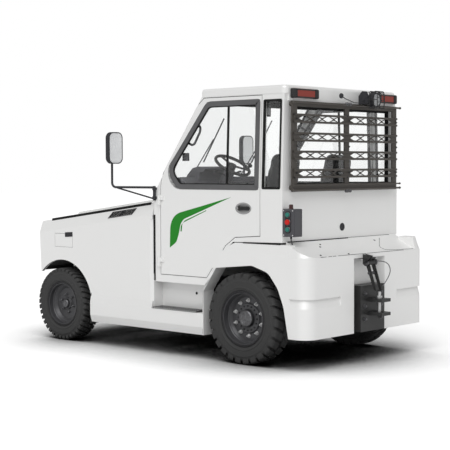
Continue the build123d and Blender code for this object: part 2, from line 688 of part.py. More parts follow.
with BuildPart() as quarter_windows:
    leaning_wall(DOOR_Y - GLASS_INSET, GLASS_T, 1500.0, DOOR_TOP_Z, (QUARTER_WINDOW_X[0] + 0.2, QUARTER_WINDOW_X[1] - 0.2))
    with BuildSketch(side_plane(DOOR_Y + 10)):
        with Locations((sum(QUARTER_WINDOW_X) / 2, sum(QUARTER_WINDOW_Z) / 2)):
            Rectangle(QUARTER_WINDOW_X[1] - QUARTER_WINDOW_X[0], QUARTER_WINDOW_Z[1] - QUARTER_WINDOW_Z[0] - 0.4)
    extrude(amount=200, mode=Mode.INTERSECT)
    mirror(about=Plane.XZ)
    add(cab_windows.part)
save(quarter_windows, "cab_windows")

# Guard over the rear window: a frame on feet, with lattice rails seated on its posts
GUARD_X = CAB_REAR_X - 48.0
GUARD_T = 14.0
GUARD_HALF_W = 805.0
GUARD_EDGE_RAILS = (  # bottom z, top z
    (BELT_Z - 16.0, BELT_Z + 53.0),
    (ROOF_BOTTOM_Z - 117.0, ROOF_BOTTOM_Z - 70.0),
)
LATTICE_COUNT = 4
LATTICE_H = 81.0
LATTICE_FIRST_Z = GUARD_EDGE_RAILS[0][1] + 51.0
LATTICE_LAST_Z = GUARD_EDGE_RAILS[1][0] - 64.0 - LATTICE_H
LATTICE_PITCH = (LATTICE_LAST_Z - LATTICE_FIRST_Z) / (LATTICE_COUNT - 1)
LATTICE_RAILS = [
    (LATTICE_FIRST_Z + index * LATTICE_PITCH, LATTICE_FIRST_Z + index * LATTICE_PITCH + LATTICE_H)
    for index in range(LATTICE_COUNT)
]
GUARD_POST_W = 70.0
GUARD_FOOT_R = 22.0
GUARD_BOTTOM_Z = GUARD_EDGE_RAILS[0][0]
GUARD_TOP_Z = GUARD_EDGE_RAILS[-1][1]
GUARD_POST_Y = GUARD_HALF_W - GUARD_POST_W / 2
with BuildPart() as rear_guard:
    with BuildSketch(Plane.YZ.offset(GUARD_X)):
        for bottom_z, top_z in GUARD_EDGE_RAILS:
            with Locations((0, (bottom_z + top_z) / 2)):
                Rectangle(2 * GUARD_HALF_W, top_z - bottom_z)
        with Locations(
            (GUARD_POST_Y, (GUARD_BOTTOM_Z + GUARD_TOP_Z) / 2),
            (-GUARD_POST_Y, (GUARD_BOTTOM_Z + GUARD_TOP_Z) / 2),
            (0, (GUARD_BOTTOM_Z + GUARD_TOP_Z) / 2),
        ):
            Rectangle(GUARD_POST_W, GUARD_TOP_Z - GUARD_BOTTOM_Z)
    extrude(amount=GUARD_T)
    for y in (GUARD_POST_Y, -GUARD_POST_Y):
        for z in (GUARD_BOTTOM_Z + 35, GUARD_TOP_Z - 25):
            with BuildSketch(Plane.YZ.offset(GUARD_X + GUARD_T)):
                with Locations((y, z)):
                    Circle(GUARD_FOOT_R)
            extrude(amount=CAB_REAR_X - GUARD_X - GUARD_T - SEAT_GAP)
save(rear_guard, "rear_guard")

# Lattice rails: diamonds in a row, with half diamonds above and below their joints
LATTICE_T = 5.0
LATTICE_LIP = 12.0
LATTICE_EDGE = 11.0
LATTICE_STRUT = 9.0
LATTICE_HALF_W = GUARD_HALF_W - 12.0
DIAMONDS = 4
with BuildPart() as guard_lattice:
    for bottom_z, top_z in LATTICE_RAILS:
        middle_z = (bottom_z + top_z) / 2
        half_h = (top_z - bottom_z) / 2 - LATTICE_EDGE
        clear_half = LATTICE_HALF_W - GUARD_POST_W
        bay = (clear_half - GUARD_POST_W / 2) / DIAMONDS
        with BuildSketch(Plane.YZ.offset(GUARD_X - SEAT_GAP - LATTICE_T)):
            with Locations((0, middle_z)):
                Rectangle(2 * LATTICE_HALF_W, top_z - bottom_z)
            for side in (1, -1):
                for index in range(DIAMONDS):
                    y = side * (GUARD_POST_W / 2 + (index + 0.5) * bay)
                    with Locations((y, middle_z)):
                        Polygon(
                            (bay / 2 - LATTICE_STRUT, 0),
                            (0, half_h),
                            (-bay / 2 + LATTICE_STRUT, 0),
                            (0, -half_h),
                            align=None,
                            mode=Mode.SUBTRACT,
                        )
                for index in range(1, DIAMONDS):
                    y = side * (GUARD_POST_W / 2 + index * bay)
                    for up in (1, -1):
                        with Locations((y, middle_z)):
                            Polygon(
                                (0, up * LATTICE_STRUT),
                                (bay / 2 - LATTICE_STRUT, up * half_h),
                                (-bay / 2 + LATTICE_STRUT, up * half_h),
                                align=None,
                                mode=Mode.SUBTRACT,
                            )
        extrude(amount=LATTICE_T)
        for z in (bottom_z, top_z - LATTICE_T):
            block(
                (GUARD_X - SEAT_GAP - LATTICE_T - LATTICE_LIP, GUARD_X - SEAT_GAP - LATTICE_T),
                (-LATTICE_HALF_W, LATTICE_HALF_W),
                (z, z + LATTICE_T),
            )
save(guard_lattice, "guard_lattice")

# Tail lamps on the roof's rear fascia
TAIL_LAMPS = (  # y from, y to
    (420.0, 784.0),
    (-815.0, -496.0),
)
TAIL_LAMP_Z = (ROOF_BOTTOM_Z - 41.0, ROOF_BOTTOM_Z + 41.0)
TAIL_LAMP_T = 34.0
with BuildPart() as tail_lamps:
    for y_low, y_high in TAIL_LAMPS:
        block((ROOF_REAR_X - SEAT_GAP - TAIL_LAMP_T, ROOF_REAR_X - SEAT_GAP), (y_low, y_high), TAIL_LAMP_Z)
    fillet(tail_lamps.edges().filter_by(Axis.X), radius=14)
    fillet(tail_lamps.faces().sort_by(Axis.X)[:2].edges(), radius=5)
save(tail_lamps, "tail_lamps")

# Work lamp: a drum between the cheeks of its bracket
WORK_LAMP_Y = -305.0
WORK_LAMP_Z = ROOF_BOTTOM_Z - 28.0
WORK_LAMP_R = 68.0
WORK_LAMP_X = (ROOF_REAR_X - 150.0, ROOF_REAR_X - 62.0)
CHEEK_T = 5.0
CHEEK_GAP = 4.0
with BuildPart() as work_lamp:
    with BuildSketch(Plane.YZ.offset(WORK_LAMP_X[0])):
        with Locations((WORK_LAMP_Y, WORK_LAMP_Z)):
            Circle(WORK_LAMP_R)
    extrude(amount=(WORK_LAMP_X[1] - WORK_LAMP_X[0]) * 0.6)
    with BuildSketch(Plane.YZ.offset(WORK_LAMP_X[0] + (WORK_LAMP_X[1] - WORK_LAMP_X[0]) * 0.6)):
        with Locations((WORK_LAMP_Y, WORK_LAMP_Z)):
            Circle(WORK_LAMP_R)
    with BuildSketch(Plane.YZ.offset(WORK_LAMP_X[1])):
        with Locations((WORK_LAMP_Y, WORK_LAMP_Z)):
            Circle(WORK_LAMP_R * 0.55)
    loft()
    for side in (1, -1):
        cheek_y = WORK_LAMP_Y + side * (WORK_LAMP_R + CHEEK_GAP + CHEEK_T / 2) + CHEEK_T / 2
        with BuildSketch(side_plane(cheek_y)):
            polygon([
                (ROOF_REAR_X - SEAT_GAP, WORK_LAMP_Z - 36),
                (ROOF_REAR_X - SEAT_GAP, WORK_LAMP_Z + 40),
                (ROOF_REAR_X - 40, WORK_LAMP_Z + 86),
                (ROOF_REAR_X - 96, WORK_LAMP_Z + 80),
                (ROOF_REAR_X - 120, WORK_LAMP_Z + 30),
                (ROOF_REAR_X - 120, WORK_LAMP_Z - 20),
                (ROOF_REAR_X - 104, WORK_LAMP_Z - 36),
            ])
        extrude(amount=CHEEK_T)
    block(
        (ROOF_REAR_X - 6 - SEAT_GAP, ROOF_REAR_X - SEAT_GAP),
        (WORK_LAMP_Y - WORK_LAMP_R - CHEEK_GAP, WORK_LAMP_Y + WORK_LAMP_R + CHEEK_GAP),
        (WORK_LAMP_Z - 36, WORK_LAMP_Z + 40),
    )
    with BuildSketch(side_plane(WORK_LAMP_Y + WORK_LAMP_R + CHEEK_GAP + CHEEK_T)):
        with Locations((sum(WORK_LAMP_X) / 2 - 10, WORK_LAMP_Z)):
            Circle(9)
    extrude(amount=2 * (WORK_LAMP_R + CHEEK_GAP + CHEEK_T))
save(work_lamp, "work_lamp")

# Control box on the left rear corner of the cab, with push buttons and a signal lamp
CONTROL_X = (-1587.0, CAB_REAR_X - SEAT_GAP)
CONTROL_Y = (764.0, 884.0)
CONTROL_Z = (1180.0, 1425.0)
BUTTON_ZS = (1245.0, 1310.0, 1375.0)
BUTTON_R = 19.0
with BuildPart() as control_box:
    block(CONTROL_X, CONTROL_Y, CONTROL_Z)
    fillet(control_box.edges(), radius=7)
    with BuildSketch(side_plane(CONTROL_Y[1] + 16)):
        with Locations(*[(sum(CONTROL_X) / 2, z) for z in BUTTON_ZS]):
            Circle(BUTTON_R)
    extrude(amount=18)
    with BuildSketch(Plane.XY.offset(CONTROL_Z[1] - 2)):
        with Locations((CONTROL_X[0] + 52, CONTROL_Y[1] - 26)):
            Circle(17)
    extrude(amount=38)
save(control_box, "control_box")

# Rear fenders over the driven wheels
REAR_ARCH = (  # x, z along the opening from the front
    (-640.0, 863.0),
    (-1125.0, 910.0),
    (-1317.0, 854.0),
    (-1428.0, 718.0),
    (-1493.0, 560.0),
    (-1546.0, COUNTERWEIGHT_BOTTOM_Z),
)
REAR_ARCH_RADII = (120.0, 150.0, 200.0, 300.0)
FENDER_RIM = (  # x, z along the upper edge from the front
    (-640.0, 863.0),
    (-662.0, 952.0),
    (-724.0, 1004.0),
    (-893.0, FENDER_TOP_Z - 6),
    (COUNTERWEIGHT_FRONT_X, FENDER_TOP_Z - 6),
)
FENDER_RIM_RADII = (40.0, 60.0, 90.0)
FENDER_SHOULDER_Y = DOOR_Y + 3.0
FENDER_INNER_Y = 835.0
SPLASH_T = 8.0
with BuildPart() as rear_fenders:
    with BuildSketch(side_plane(SKIRT_Y)):
        with BuildLine():
            FilletPolyline(*REAR_ARCH, radius=REAR_ARCH_RADII)
            FilletPolyline(*FENDER_RIM, radius=FENDER_RIM_RADII)
            Polyline(
                FENDER_RIM[-1],
                (COUNTERWEIGHT_FRONT_X, COUNTERWEIGHT_BOTTOM_Z),
                REAR_ARCH[-1],
            )
        make_face()
    extrude(amount=SKIRT_Y - DOOR_Y - 1)
    with BuildSketch(Plane.YZ.offset(COUNTERWEIGHT_FRONT_X - 1)):
        polygon([
            (SKIRT_Y, FENDER_CREASE_Z),
            (SKIRT_Y + 1, FENDER_CREASE_Z),
            (SKIRT_Y + 1, FENDER_TOP_Z + 1),
            (FENDER_SHOULDER_Y, FENDER_TOP_Z + 1),
        ])
    extrude(amount=REAR_ARCH[0][0] - COUNTERWEIGHT_FRONT_X + 2, mode=Mode.SUBTRACT)
    block(
        (COUNTERWEIGHT_FRONT_X, -905.0),
        (FENDER_INNER_Y, FENDER_SHOULDER_Y),
        (FENDER_TOP_Z - 26, FENDER_TOP_Z - 6),
    )
    with BuildSketch(side_plane(SKIRT_Y - SEAT_GAP)):
        polygon([
            (SILL_REAR_X - SEAT_GAP, SILL_BOTTOM_Z + 6),
            (SILL_REAR_X - SEAT_GAP, 640.0),
            (-692.0, 884.0),
            (-692.0 - SPLASH_T, 884.0),
            (SILL_REAR_X - SEAT_GAP - SPLASH_T, 642.0),
            (SILL_REAR_X - SEAT_GAP - SPLASH_T, SILL_BOTTOM_Z + 6),
        ])
    extrude(amount=SKIRT_Y - SILL_INNER_Y - STEP_WALL_T - 2 * SEAT_GAP)
    mirror(about=Plane.XZ)
save(rear_fenders, "rear_fenders")

# Counterweight with rounded corners, side grooves and the niche for the hitch
NICHE_HALF_W = 200.0
NICHE_DEPTH = 100.0
NICHE_TOP_Z = 965.0
GROOVE_Z = (556.0, 638.0)
GROOVE_DEPTH = 22.0
GROOVE_INNER_Y = 437.0


def plan_outline(half_width, rear_x, front_x, corner_r):
    """Plan of the rear body with rounded rear corners, as a face in the current sketch."""
    with BuildLine() as edge:
        Polyline(
            (rear_x + corner_r, half_width),
            (front_x, half_width),
            (front_x, -half_width),
            (rear_x + corner_r, -half_width),
        )
        RadiusArc((rear_x + corner_r, -half_width), (rear_x, -half_width + corner_r), corner_r)
        Line((rear_x, -half_width + corner_r), (rear_x, half_width - corner_r))
        RadiusArc((rear_x, half_width - corner_r), (rear_x + corner_r, half_width), corner_r)
    make_face(edge.edges())


# Wedge that the side grooves take out: full depth at its top, nothing at its bottom
with BuildPart() as groove:
    with BuildSketch(Plane.XY.offset(GROOVE_Z[0])):
        plan_outline(COUNTERWEIGHT_HALF_W + 1, BODY_REAR_X - 1, COUNTERWEIGHT_FRONT_X + 60, CORNER_R + 1)
    extrude(amount=GROOVE_Z[1] - GROOVE_Z[0])
    for z, depth in ((GROOVE_Z[0] - 0.5, 0.0), (GROOVE_Z[1] + 0.5, GROOVE_DEPTH)):
        with BuildSketch(Plane.XY.offset(z)):
            plan_outline(
                COUNTERWEIGHT_HALF_W - depth,
                BODY_REAR_X + depth,
                COUNTERWEIGHT_FRONT_X + 100,
                CORNER_R - depth,
            )
    loft(mode=Mode.SUBTRACT)
    with BuildSketch(Plane.XY.offset(GROOVE_Z[0] - 1)):
        with Locations((COUNTERWEIGHT_FRONT_X, 0)):
            Rectangle(900, 2 * GROOVE_INNER_Y)
    extrude(amount=GROOVE_Z[1] - GROOVE_Z[0] + 2, mode=Mode.SUBTRACT)

with BuildPart() as counterweight:
    with BuildSketch(Plane.XY.offset(COUNTERWEIGHT_BOTTOM_Z)):
        plan_outline(COUNTERWEIGHT_HALF_W, BODY_REAR_X, COUNTERWEIGHT_FRONT_X - SEAT_GAP, CORNER_R)
    extrude(amount=DECK_SEAM_Z - COUNTERWEIGHT_BOTTOM_Z)
    with BuildSketch(Plane.XY.offset(COUNTERWEIGHT_BOTTOM_Z)):
        polygon([
            (BODY_REAR_X - 1, NICHE_HALF_W + 40),
            (BODY_REAR_X + NICHE_DEPTH, NICHE_HALF_W),
            (BODY_REAR_X + NICHE_DEPTH, -NICHE_HALF_W),
            (BODY_REAR_X - 1, -NICHE_HALF_W - 40),
        ])
    extrude(amount=NICHE_TOP_Z - COUNTERWEIGHT_BOTTOM_Z, mode=Mode.SUBTRACT)
    add(groove.part, mode=Mode.SUBTRACT)
save(counterweight, "counterweight")

# Deck cover over the counterweight: a hood sloping up to the cab's rear wall, with tapered
# sides, and an upright block at its right-hand end
DECK_INSET = 6.0
DECK_TOP_Z = 1135.0
DECK_BLOCK_Y = -755.0
DECK_BLOCK_TOP_Z = 1118.0
DECK_REAR_X = BODY_REAR_X + DECK_INSET
with BuildPart() as rear_deck:
    for z, inset in ((DECK_SEAM_Z + SEAT_GAP, DECK_INSET), (DECK_TOP_Z, DECK_INSET + 32.0)):
        with BuildSketch(Plane.XY.offset(z)):
            plan_outline(COUNTERWEIGHT_HALF_W - inset, BODY_REAR_X + inset, COUNTERWEIGHT_FRONT_X, CORNER_R - 8)
    loft()
    with BuildSketch(side_plane(COUNTERWEIGHT_HALF_W + 10)):
        polygon([
            (DECK_REAR_X - 1, DECK_SEAM_Z + 4),
            (CAB_REAR_X, DECK_TOP_Z + 1),
            (DECK_REAR_X - 1, DECK_TOP_Z + 1),
        ])
    extrude(amount=COUNTERWEIGHT_HALF_W + 10 - DECK_BLOCK_Y, mode=Mode.SUBTRACT)
    with BuildSketch(side_plane(DECK_BLOCK_Y + 1)):
        with Locations((CAB_REAR_X - 150, DECK_BLOCK_TOP_Z + 30)):
            Rectangle(420, 60)
    extrude(amount=300, mode=Mode.SUBTRACT)
    with BuildSketch(side_plane(FENDER_INNER_Y - 1)):
        polygon([
            (COUNTERWEIGHT_FRONT_X - 1, FENDER_TOP_Z - 60),
            (CAB_REAR_X - SEAT_GAP, FENDER_TOP_Z - 60),
            (CAB_REAR_X - SEAT_GAP, DECK_TOP_Z),
            (COUNTERWEIGHT_FRONT_X - 1, FENDER_TOP_Z - 28),
        ])
    extrude(amount=2 * (FENDER_INNER_Y - 1))
save(rear_deck, "rear_deck")

# Hitch bracket: plate with two jaws and their bores
JAW_HALF_W = 70.0
LEVER_PLATE_T = 10.0
LEVER_PLATE_HALF_W = 150.0
LEVER_Y = 42.0
LEVER_T = 10.0
LEVER_TOP = (-1772.0, 918.0)
LEVER_FOOT = (-1862.0, 672.0)
with BuildPart() as hitch_bracket:
    block((HITCH_PLATE_X, BODY_REAR_X + NICHE_DEPTH - 0.3), (-185.0, 185.0), (293.0, 715.0))
    for jaw_z in (JAW_LOWER_Z, JAW_UPPER_Z):
        block((HITCH_END_X, HITCH_PLATE_X), (-JAW_HALF_W, JAW_HALF_W), (jaw_z - JAW_T / 2, jaw_z + JAW_T / 2))
    with Locations((HITCH_PIN_X, 0, JAW_UPPER_Z + JAW_T)):
        Hole(HITCH_PIN_R + SHAFT_CLEARANCE, depth=JAW_UPPER_Z - JAW_LOWER_Z + 2 * JAW_T)
    with BuildSketch(Plane.XY.offset(NICHE_TOP_Z - SEAT_GAP - LEVER_PLATE_T)):
        polygon([
            (BODY_REAR_X + NICHE_DEPTH - 20, LEVER_PLATE_HALF_W),
            (BODY_REAR_X + NICHE_DEPTH - 20, -LEVER_PLATE_HALF_W),
            (BODY_REAR_X - 40, -40.0),
            (BODY_REAR_X - 40, 40.0),
        ])
    extrude(amount=LEVER_PLATE_T)
    for y in (-LEVER_Y, LEVER_Y):
        inner, outer = sorted((y - LEVER_T / 2, y + LEVER_T / 2))
        with BuildSketch(side_plane(outer)):
            polygon([
                (LEVER_TOP[0] - 20, LEVER_TOP[1] + 36),
                (LEVER_TOP[0] + 24, LEVER_TOP[1] + 36),
                (LEVER_TOP[0] + 20, LEVER_TOP[1] - 10),
                (LEVER_FOOT[0] + 18, LEVER_FOOT[1]),
                (LEVER_FOOT[0] - 12, LEVER_FOOT[1] - 12),
                (LEVER_TOP[0] - 20, LEVER_TOP[1] - 10),
            ])
        extrude(amount=outer - inner)
    with BuildSketch(side_plane(LEVER_Y + 20)):
        with Locations(LEVER_TOP):
            Circle(24)
    extrude(amount=2 * LEVER_Y + 40)
    with BuildSketch(side_plane(LEVER_Y)):
        with Locations((LEVER_FOOT[0] + 70, LEVER_FOOT[1] + 150)):
            Circle(11)
    extrude(amount=2 * LEVER_Y)
save(hitch_bracket, "hitch_bracket")

# Hitch pin with its head and lifting loop
PIN_BOTTOM_Z = JAW_LOWER_Z - JAW_T / 2 - 6
PIN_HEAD_Z = JAW_UPPER_Z + JAW_T / 2 + 0.5
with BuildPart() as hitch_pin:
    with BuildSketch(Plane.XY.offset(PIN_BOTTOM_Z)):
        with Locations((HITCH_PIN_X, 0)):
            Circle(HITCH_PIN_R)
    extrude(amount=PIN_HEAD_Z - PIN_BOTTOM_Z + 60)
    with BuildSketch(Plane.XY.offset(PIN_HEAD_Z)):
        with Locations((HITCH_PIN_X, 0)):
            Circle(HITCH_PIN_R + 11)
    extrude(amount=22)
save(hitch_pin, "hitch_pin")

# Seats: bases, cushions and backrests on the platform
SEATS_Y = (400.0, -400.0)
SEAT_W = 460.0
CUSHION_X = (-960.0, -500.0)
CUSHION_Z = (1330.0, 1450.0)
BACK_TILT = 12.0
BACK_T = 110.0
BACK_H = 620.0
with BuildPart() as seat_bases:
    for y in SEATS_Y:
        block((CUSHION_X[0] + 40, CUSHION_X[1] - 60), (y - 170, y + 170), (PLATFORM_Z, CUSHION_Z[0] - 0.3))
save(seat_bases, "seat_bases")

TILT = radians(BACK_TILT)
with BuildPart() as seat_cushions:
    for y in SEATS_Y:
        with BuildSketch(side_plane(y + SEAT_W / 2)):
            polygon([
                (CUSHION_X[0] + (CUSHION_Z[1] - CUSHION_Z[0]) * tan(TILT), CUSHION_Z[0]),
                (CUSHION_X[0], CUSHION_Z[1]),
                (CUSHION_X[1], CUSHION_Z[1]),
                (CUSHION_X[1], CUSHION_Z[0]),
            ])
        extrude(amount=SEAT_W)
    fillet(seat_cushions.edges(), radius=30)
save(seat_cushions, "seat_cushions")

# The backrest's plane lies on the cushion's sloping rear face
BACK_PLANE = Plane(
    origin=(CUSHION_X[0] - SEAT_GAP / cos(TILT), 0, CUSHION_Z[1]),
    x_dir=(0, -1, 0),
    z_dir=(-cos(TILT), 0, -sin(TILT)),
)
BACK_DROP = 110.0
with BuildPart() as seat_backrests:
    with BuildSketch(BACK_PLANE):
        for y in SEATS_Y:
            with Locations((y, BACK_H / 2 - BACK_DROP)):
                Rectangle(SEAT_W - 20, BACK_H)
    extrude(amount=BACK_T)
    fillet(seat_backrests.edges(), radius=28)
save(seat_backrests, "seat_backrests")

# Steering axis, shared by the column, the wheel and the dashboard's opening
COLUMN_PLANE = Plane(
    origin=WHEEL_CENTRE,
    x_dir=(cos(radians(COLUMN_TILT)), 0, sin(radians(COLUMN_TILT))),
    z_dir=(-sin(radians(COLUMN_TILT)), 0, cos(radians(COLUMN_TILT))),
)
COLUMN_R = 32.0
HUB_DROP = 60.0
COLUMN_LENGTH = 370.0
STEERING_SHAFT_R = 12.0

# Dashboard across the cab
with BuildPart() as dashboard:
    with BuildSketch(side_plane(FLOOR_HALF_W - 2)):
        polygon([
            (FRONT_WALL_X[0] - 0.3, 1380.0),
            (FRONT_WALL_X[0] - 0.3, 1588.0),
            (-40.0, 1690.0),
            (-170.0, 1700.0),
            (-230.0, 1640.0),
            (-200.0, 1450.0),
            (-60.0, 1380.0),
        ])
    extrude(amount=2 * (FLOOR_HALF_W - 2))
    with BuildSketch(COLUMN_PLANE.offset(-HUB_DROP - COLUMN_LENGTH)):
        Circle(COLUMN_R + SEAT_GAP)
    extrude(amount=COLUMN_LENGTH, mode=Mode.SUBTRACT)
save(dashboard, "dashboard")

# Steering column and steering wheel
with BuildPart() as steering_column:
    with BuildSketch(COLUMN_PLANE.offset(-HUB_DROP - COLUMN_LENGTH)):
        Circle(COLUMN_R)
    extrude(amount=COLUMN_LENGTH)
    with BuildSketch(COLUMN_PLANE.offset(-HUB_DROP)):
        Circle(STEERING_SHAFT_R)
    extrude(amount=20)
save(steering_column, "steering_column")

with BuildPart() as steering_wheel:
    with BuildSketch(Plane(origin=COLUMN_PLANE.origin, x_dir=COLUMN_PLANE.x_dir, z_dir=(0, 1, 0))):
        with Locations((STEERING_WHEEL_R - STEERING_RIM_R, 0)):
            Circle(STEERING_RIM_R)
    revolve(axis=Axis(COLUMN_PLANE.origin, COLUMN_PLANE.z_dir))
    with BuildSketch(COLUMN_PLANE.offset(-HUB_DROP + 6)):
        Circle(38)
    extrude(amount=HUB_DROP - 6)
    with BuildSketch(COLUMN_PLANE.offset(-8)):
        for angle in (0, 120, 240):
            with PolarLocations((STEERING_WHEEL_R - STEERING_RIM_R) / 2, 1, start_angle=angle):
                Rectangle(STEERING_WHEEL_R - STEERING_RIM_R - 4, 26)
    extrude(amount=10)
    with BuildSketch(COLUMN_PLANE.offset(-HUB_DROP)):
        Circle(STEERING_SHAFT_R + SHAFT_CLEARANCE)
    extrude(amount=24, mode=Mode.SUBTRACT)
save(steering_wheel, "steering_wheel")

# Mirrors on their arms ahead of the doors
MIRROR_CENTRE = (579.0, 985.0, 1985.0)
MIRROR_W = 180.0
MIRROR_H = 310.0
MIRROR_T = 45.0
TUBE_R = 11.0
POST_R = 14.0
BRACE_R = 8.0
MIRROR_POST = (130.0, DOOR_Y + POST_R + SEAT_GAP)
MIRROR_CABIN_X = -500.0
STEM_X = MIRROR_CENTRE[0] + MIRROR_T + TUBE_R - 2
POST_X, POST_Y = MIRROR_POST
ARM_BAR_Z = 1600.0
with BuildPart() as side_mirrors:
    with BuildLine() as arm:
        FilletPolyline(
            (POST_X, POST_Y, ARM_BAR_Z),
            (STEM_X, MIRROR_CENTRE[1], ARM_BAR_Z),
            (STEM_X, MIRROR_CENTRE[1], MIRROR_CENTRE[2] + 60),
            radius=45,
        )
    with BuildSketch(Plane(origin=arm.line @ 0, z_dir=arm.line % 0)):
        Circle(TUBE_R)
    sweep()
    rod((POST_X, POST_Y, 1474.0), (POST_X, POST_Y, 1614.0), POST_R)
    rod((POST_X, POST_Y, 1490.0), (STEM_X - 60, MIRROR_CENTRE[1] - 12, ARM_BAR_Z - 6), BRACE_R)
    with BuildSketch(Plane.YZ.offset(MIRROR_CENTRE[0])):
        with Locations((MIRROR_CENTRE[1], MIRROR_CENTRE[2])):
            RectangleRounded(MIRROR_W, MIRROR_H, 60)
    extrude(amount=MIRROR_T)
    mirror(about=Plane.XZ)
    block((MIRROR_CABIN_X, MIRROR_CABIN_X + 25), (-100.0, 100.0), (2290.0, 2420.0))
    block((MIRROR_CABIN_X + 6, MIRROR_CABIN_X + 19), (-10.0, 10.0), (2400.0, ROOF_BOTTOM_Z - SEAT_GAP))
save(side_mirrors, "mirrors")

# Front axle beam with yokes round the kingpins
BEAM_H = 90.0
BEAM_W = 90.0
YOKE_R = 44.0
KNUCKLE_H = 110.0
YOKE_T = 26.0
with BuildPart() as front_axle_beam:
    block(
        (FRONT_AXLE_X - BEAM_W / 2, FRONT_AXLE_X + BEAM_W / 2),
        (-KINGPIN_Y + 80, KINGPIN_Y - 80),
        (FRONT_AXLE_Z - BEAM_H / 2, FRONT_AXLE_Z + BEAM_H / 2),
    )
    for z in (FRONT_AXLE_Z - KNUCKLE_H / 2 - YOKE_T - 0.5, FRONT_AXLE_Z + KNUCKLE_H / 2 + 0.5):
        with BuildSketch(Plane.XY.offset(z)):
            with Locations((FRONT_AXLE_X, KINGPIN_Y)):
                Circle(YOKE_R)
            with Locations((FRONT_AXLE_X, KINGPIN_Y - 50)):
                Rectangle(2 * YOKE_R, 100)
        extrude(amount=YOKE_T)
    block(
        (FRONT_AXLE_X - 30, FRONT_AXLE_X + 30),
        (KINGPIN_Y - 100, KINGPIN_Y - 75),
        (FRONT_AXLE_Z - KNUCKLE_H / 2 - YOKE_T, FRONT_AXLE_Z + KNUCKLE_H / 2 + YOKE_T),
    )
    mirror(about=Plane.XZ)
save(front_axle_beam, "front_axle_beam")

# Leaf springs between the beam and the rails
SPRING_Y = RAIL_Y
with BuildPart() as leaf_springs:
    block(
        (FRONT_AXLE_X - 45, FRONT_AXLE_X + 45),
        (SPRING_Y - 35, SPRING_Y + 35),
        (FRONT_AXLE_Z + BEAM_H / 2, FRONT_AXLE_Z + BEAM_H / 2 + 20),
    )
    with BuildSketch(side_plane(SPRING_Y + 35)):
        with BuildLine():
            top_z = RAIL_BOTTOM_Z
            mid_z = FRONT_AXLE_Z + BEAM_H / 2 + 30
            upper = ThreePointArc((FRONT_AXLE_X - 420, top_z), (FRONT_AXLE_X, mid_z), (FRONT_AXLE_X + 280, top_z))
            lower = ThreePointArc(
                (FRONT_AXLE_X - 420, top_z - 14), (FRONT_AXLE_X, mid_z - 14), (FRONT_AXLE_X + 280, top_z - 14)
            )
            Line(upper @ 0, lower @ 0)
            Line(upper @ 1, lower @ 1)
        make_face()
    extrude(amount=70)
    mirror(about=Plane.XZ)
save(leaf_springs, "leaf_springs")

# Steering knuckles with spindle and steering arm
SPINDLE_R = 30.0
ARM_X = -185.0
ARM_T = 24.0
ARM_Z = FRONT_AXLE_Z - KNUCKLE_H / 2 + ARM_T
TIE_PIN_R = 9.0
with BuildPart() as knuckle_left:
    with BuildSketch(Plane.XY.offset(FRONT_AXLE_Z - KNUCKLE_H / 2)):
        with Locations((FRONT_AXLE_X, KINGPIN_Y)):
            Circle(YOKE_R - 8)
    extrude(amount=KNUCKLE_H)
    with BuildSketch(side_plane(FRONT_TRACK_HALF + 10)):
        with Locations((FRONT_AXLE_X, FRONT_AXLE_Z)):
            Circle(SPINDLE_R)
    extrude(amount=FRONT_TRACK_HALF + 10 - KINGPIN_Y)
    with BuildSketch(Plane.XY.offset(ARM_Z - ARM_T)):
        polygon([
            (FRONT_AXLE_X, KINGPIN_Y + 22),
            (FRONT_AXLE_X + ARM_X, KINGPIN_Y + 18),
            (FRONT_AXLE_X + ARM_X, KINGPIN_Y - 18),
            (FRONT_AXLE_X, KINGPIN_Y - 30),
        ])
        with Locations((FRONT_AXLE_X + ARM_X, KINGPIN_Y)):
            Circle(22)
    extrude(amount=ARM_T)
    with BuildSketch(Plane.XY.offset(ARM_Z - ARM_T - 34)):
        with Locations((FRONT_AXLE_X + ARM_X, KINGPIN_Y)):
            Circle(TIE_PIN_R)
    extrude(amount=36)
save(knuckle_left, "knuckle_left")
save_mirrored(knuckle_left, "knuckle_right")

# Tie rod with an eye on each arm's pin
ROD_R = 13.0
EYE_R = 24.0
ROD_Z = ARM_Z - ARM_T - 17
with BuildPart() as tie_rod:
    with BuildSketch(side_plane(KINGPIN_Y - EYE_R + 2)):
        with Locations((FRONT_AXLE_X + ARM_X, ROD_Z)):
            Circle(ROD_R)
    extrude(amount=2 * (KINGPIN_Y - EYE_R + 2))
    with BuildSketch(Plane.XY.offset(ROD_Z - 14)):
        for y in (KINGPIN_Y, -KINGPIN_Y):
            with Locations((FRONT_AXLE_X + ARM_X, y)):
                Circle(EYE_R)
    extrude(amount=28)
    with BuildSketch(Plane.XY.offset(ROD_Z - 20)):
        with Locations((FRONT_AXLE_X + ARM_X, KINGPIN_Y)):
            Circle(TIE_PIN_R + SHAFT_CLEARANCE)
        with Locations((FRONT_AXLE_X + ARM_X, -KINGPIN_Y)):
            Circle(TIE_PIN_R + 0.5)
    extrude(amount=40, mode=Mode.SUBTRACT)
save(tie_rod, "tie_rod")


# Tyres and rims
def tyre_profile(outer_r, inner_r, width):
    """Half section of a tyre: crowned tread, rounded shoulders, bulging walls."""
    half = width / 2
    shoulder = outer_r - 30
    with BuildLine() as edge:
        Line((inner_r, -half + 22), (inner_r, half - 22))
        ThreePointArc((inner_r, half - 22), ((inner_r + shoulder) / 2, half), (shoulder, half - 8))
        Line((shoulder, half - 8), (outer_r - 8, half - 24))
        ThreePointArc((outer_r - 8, half - 24), (outer_r, 0), (outer_r - 8, -half + 24))
        Line((outer_r - 8, -half + 24), (shoulder, -half + 8))
        ThreePointArc((shoulder, -half + 8), ((inner_r + shoulder) / 2, -half), (inner_r, -half + 22))
    make_face(edge.edges())


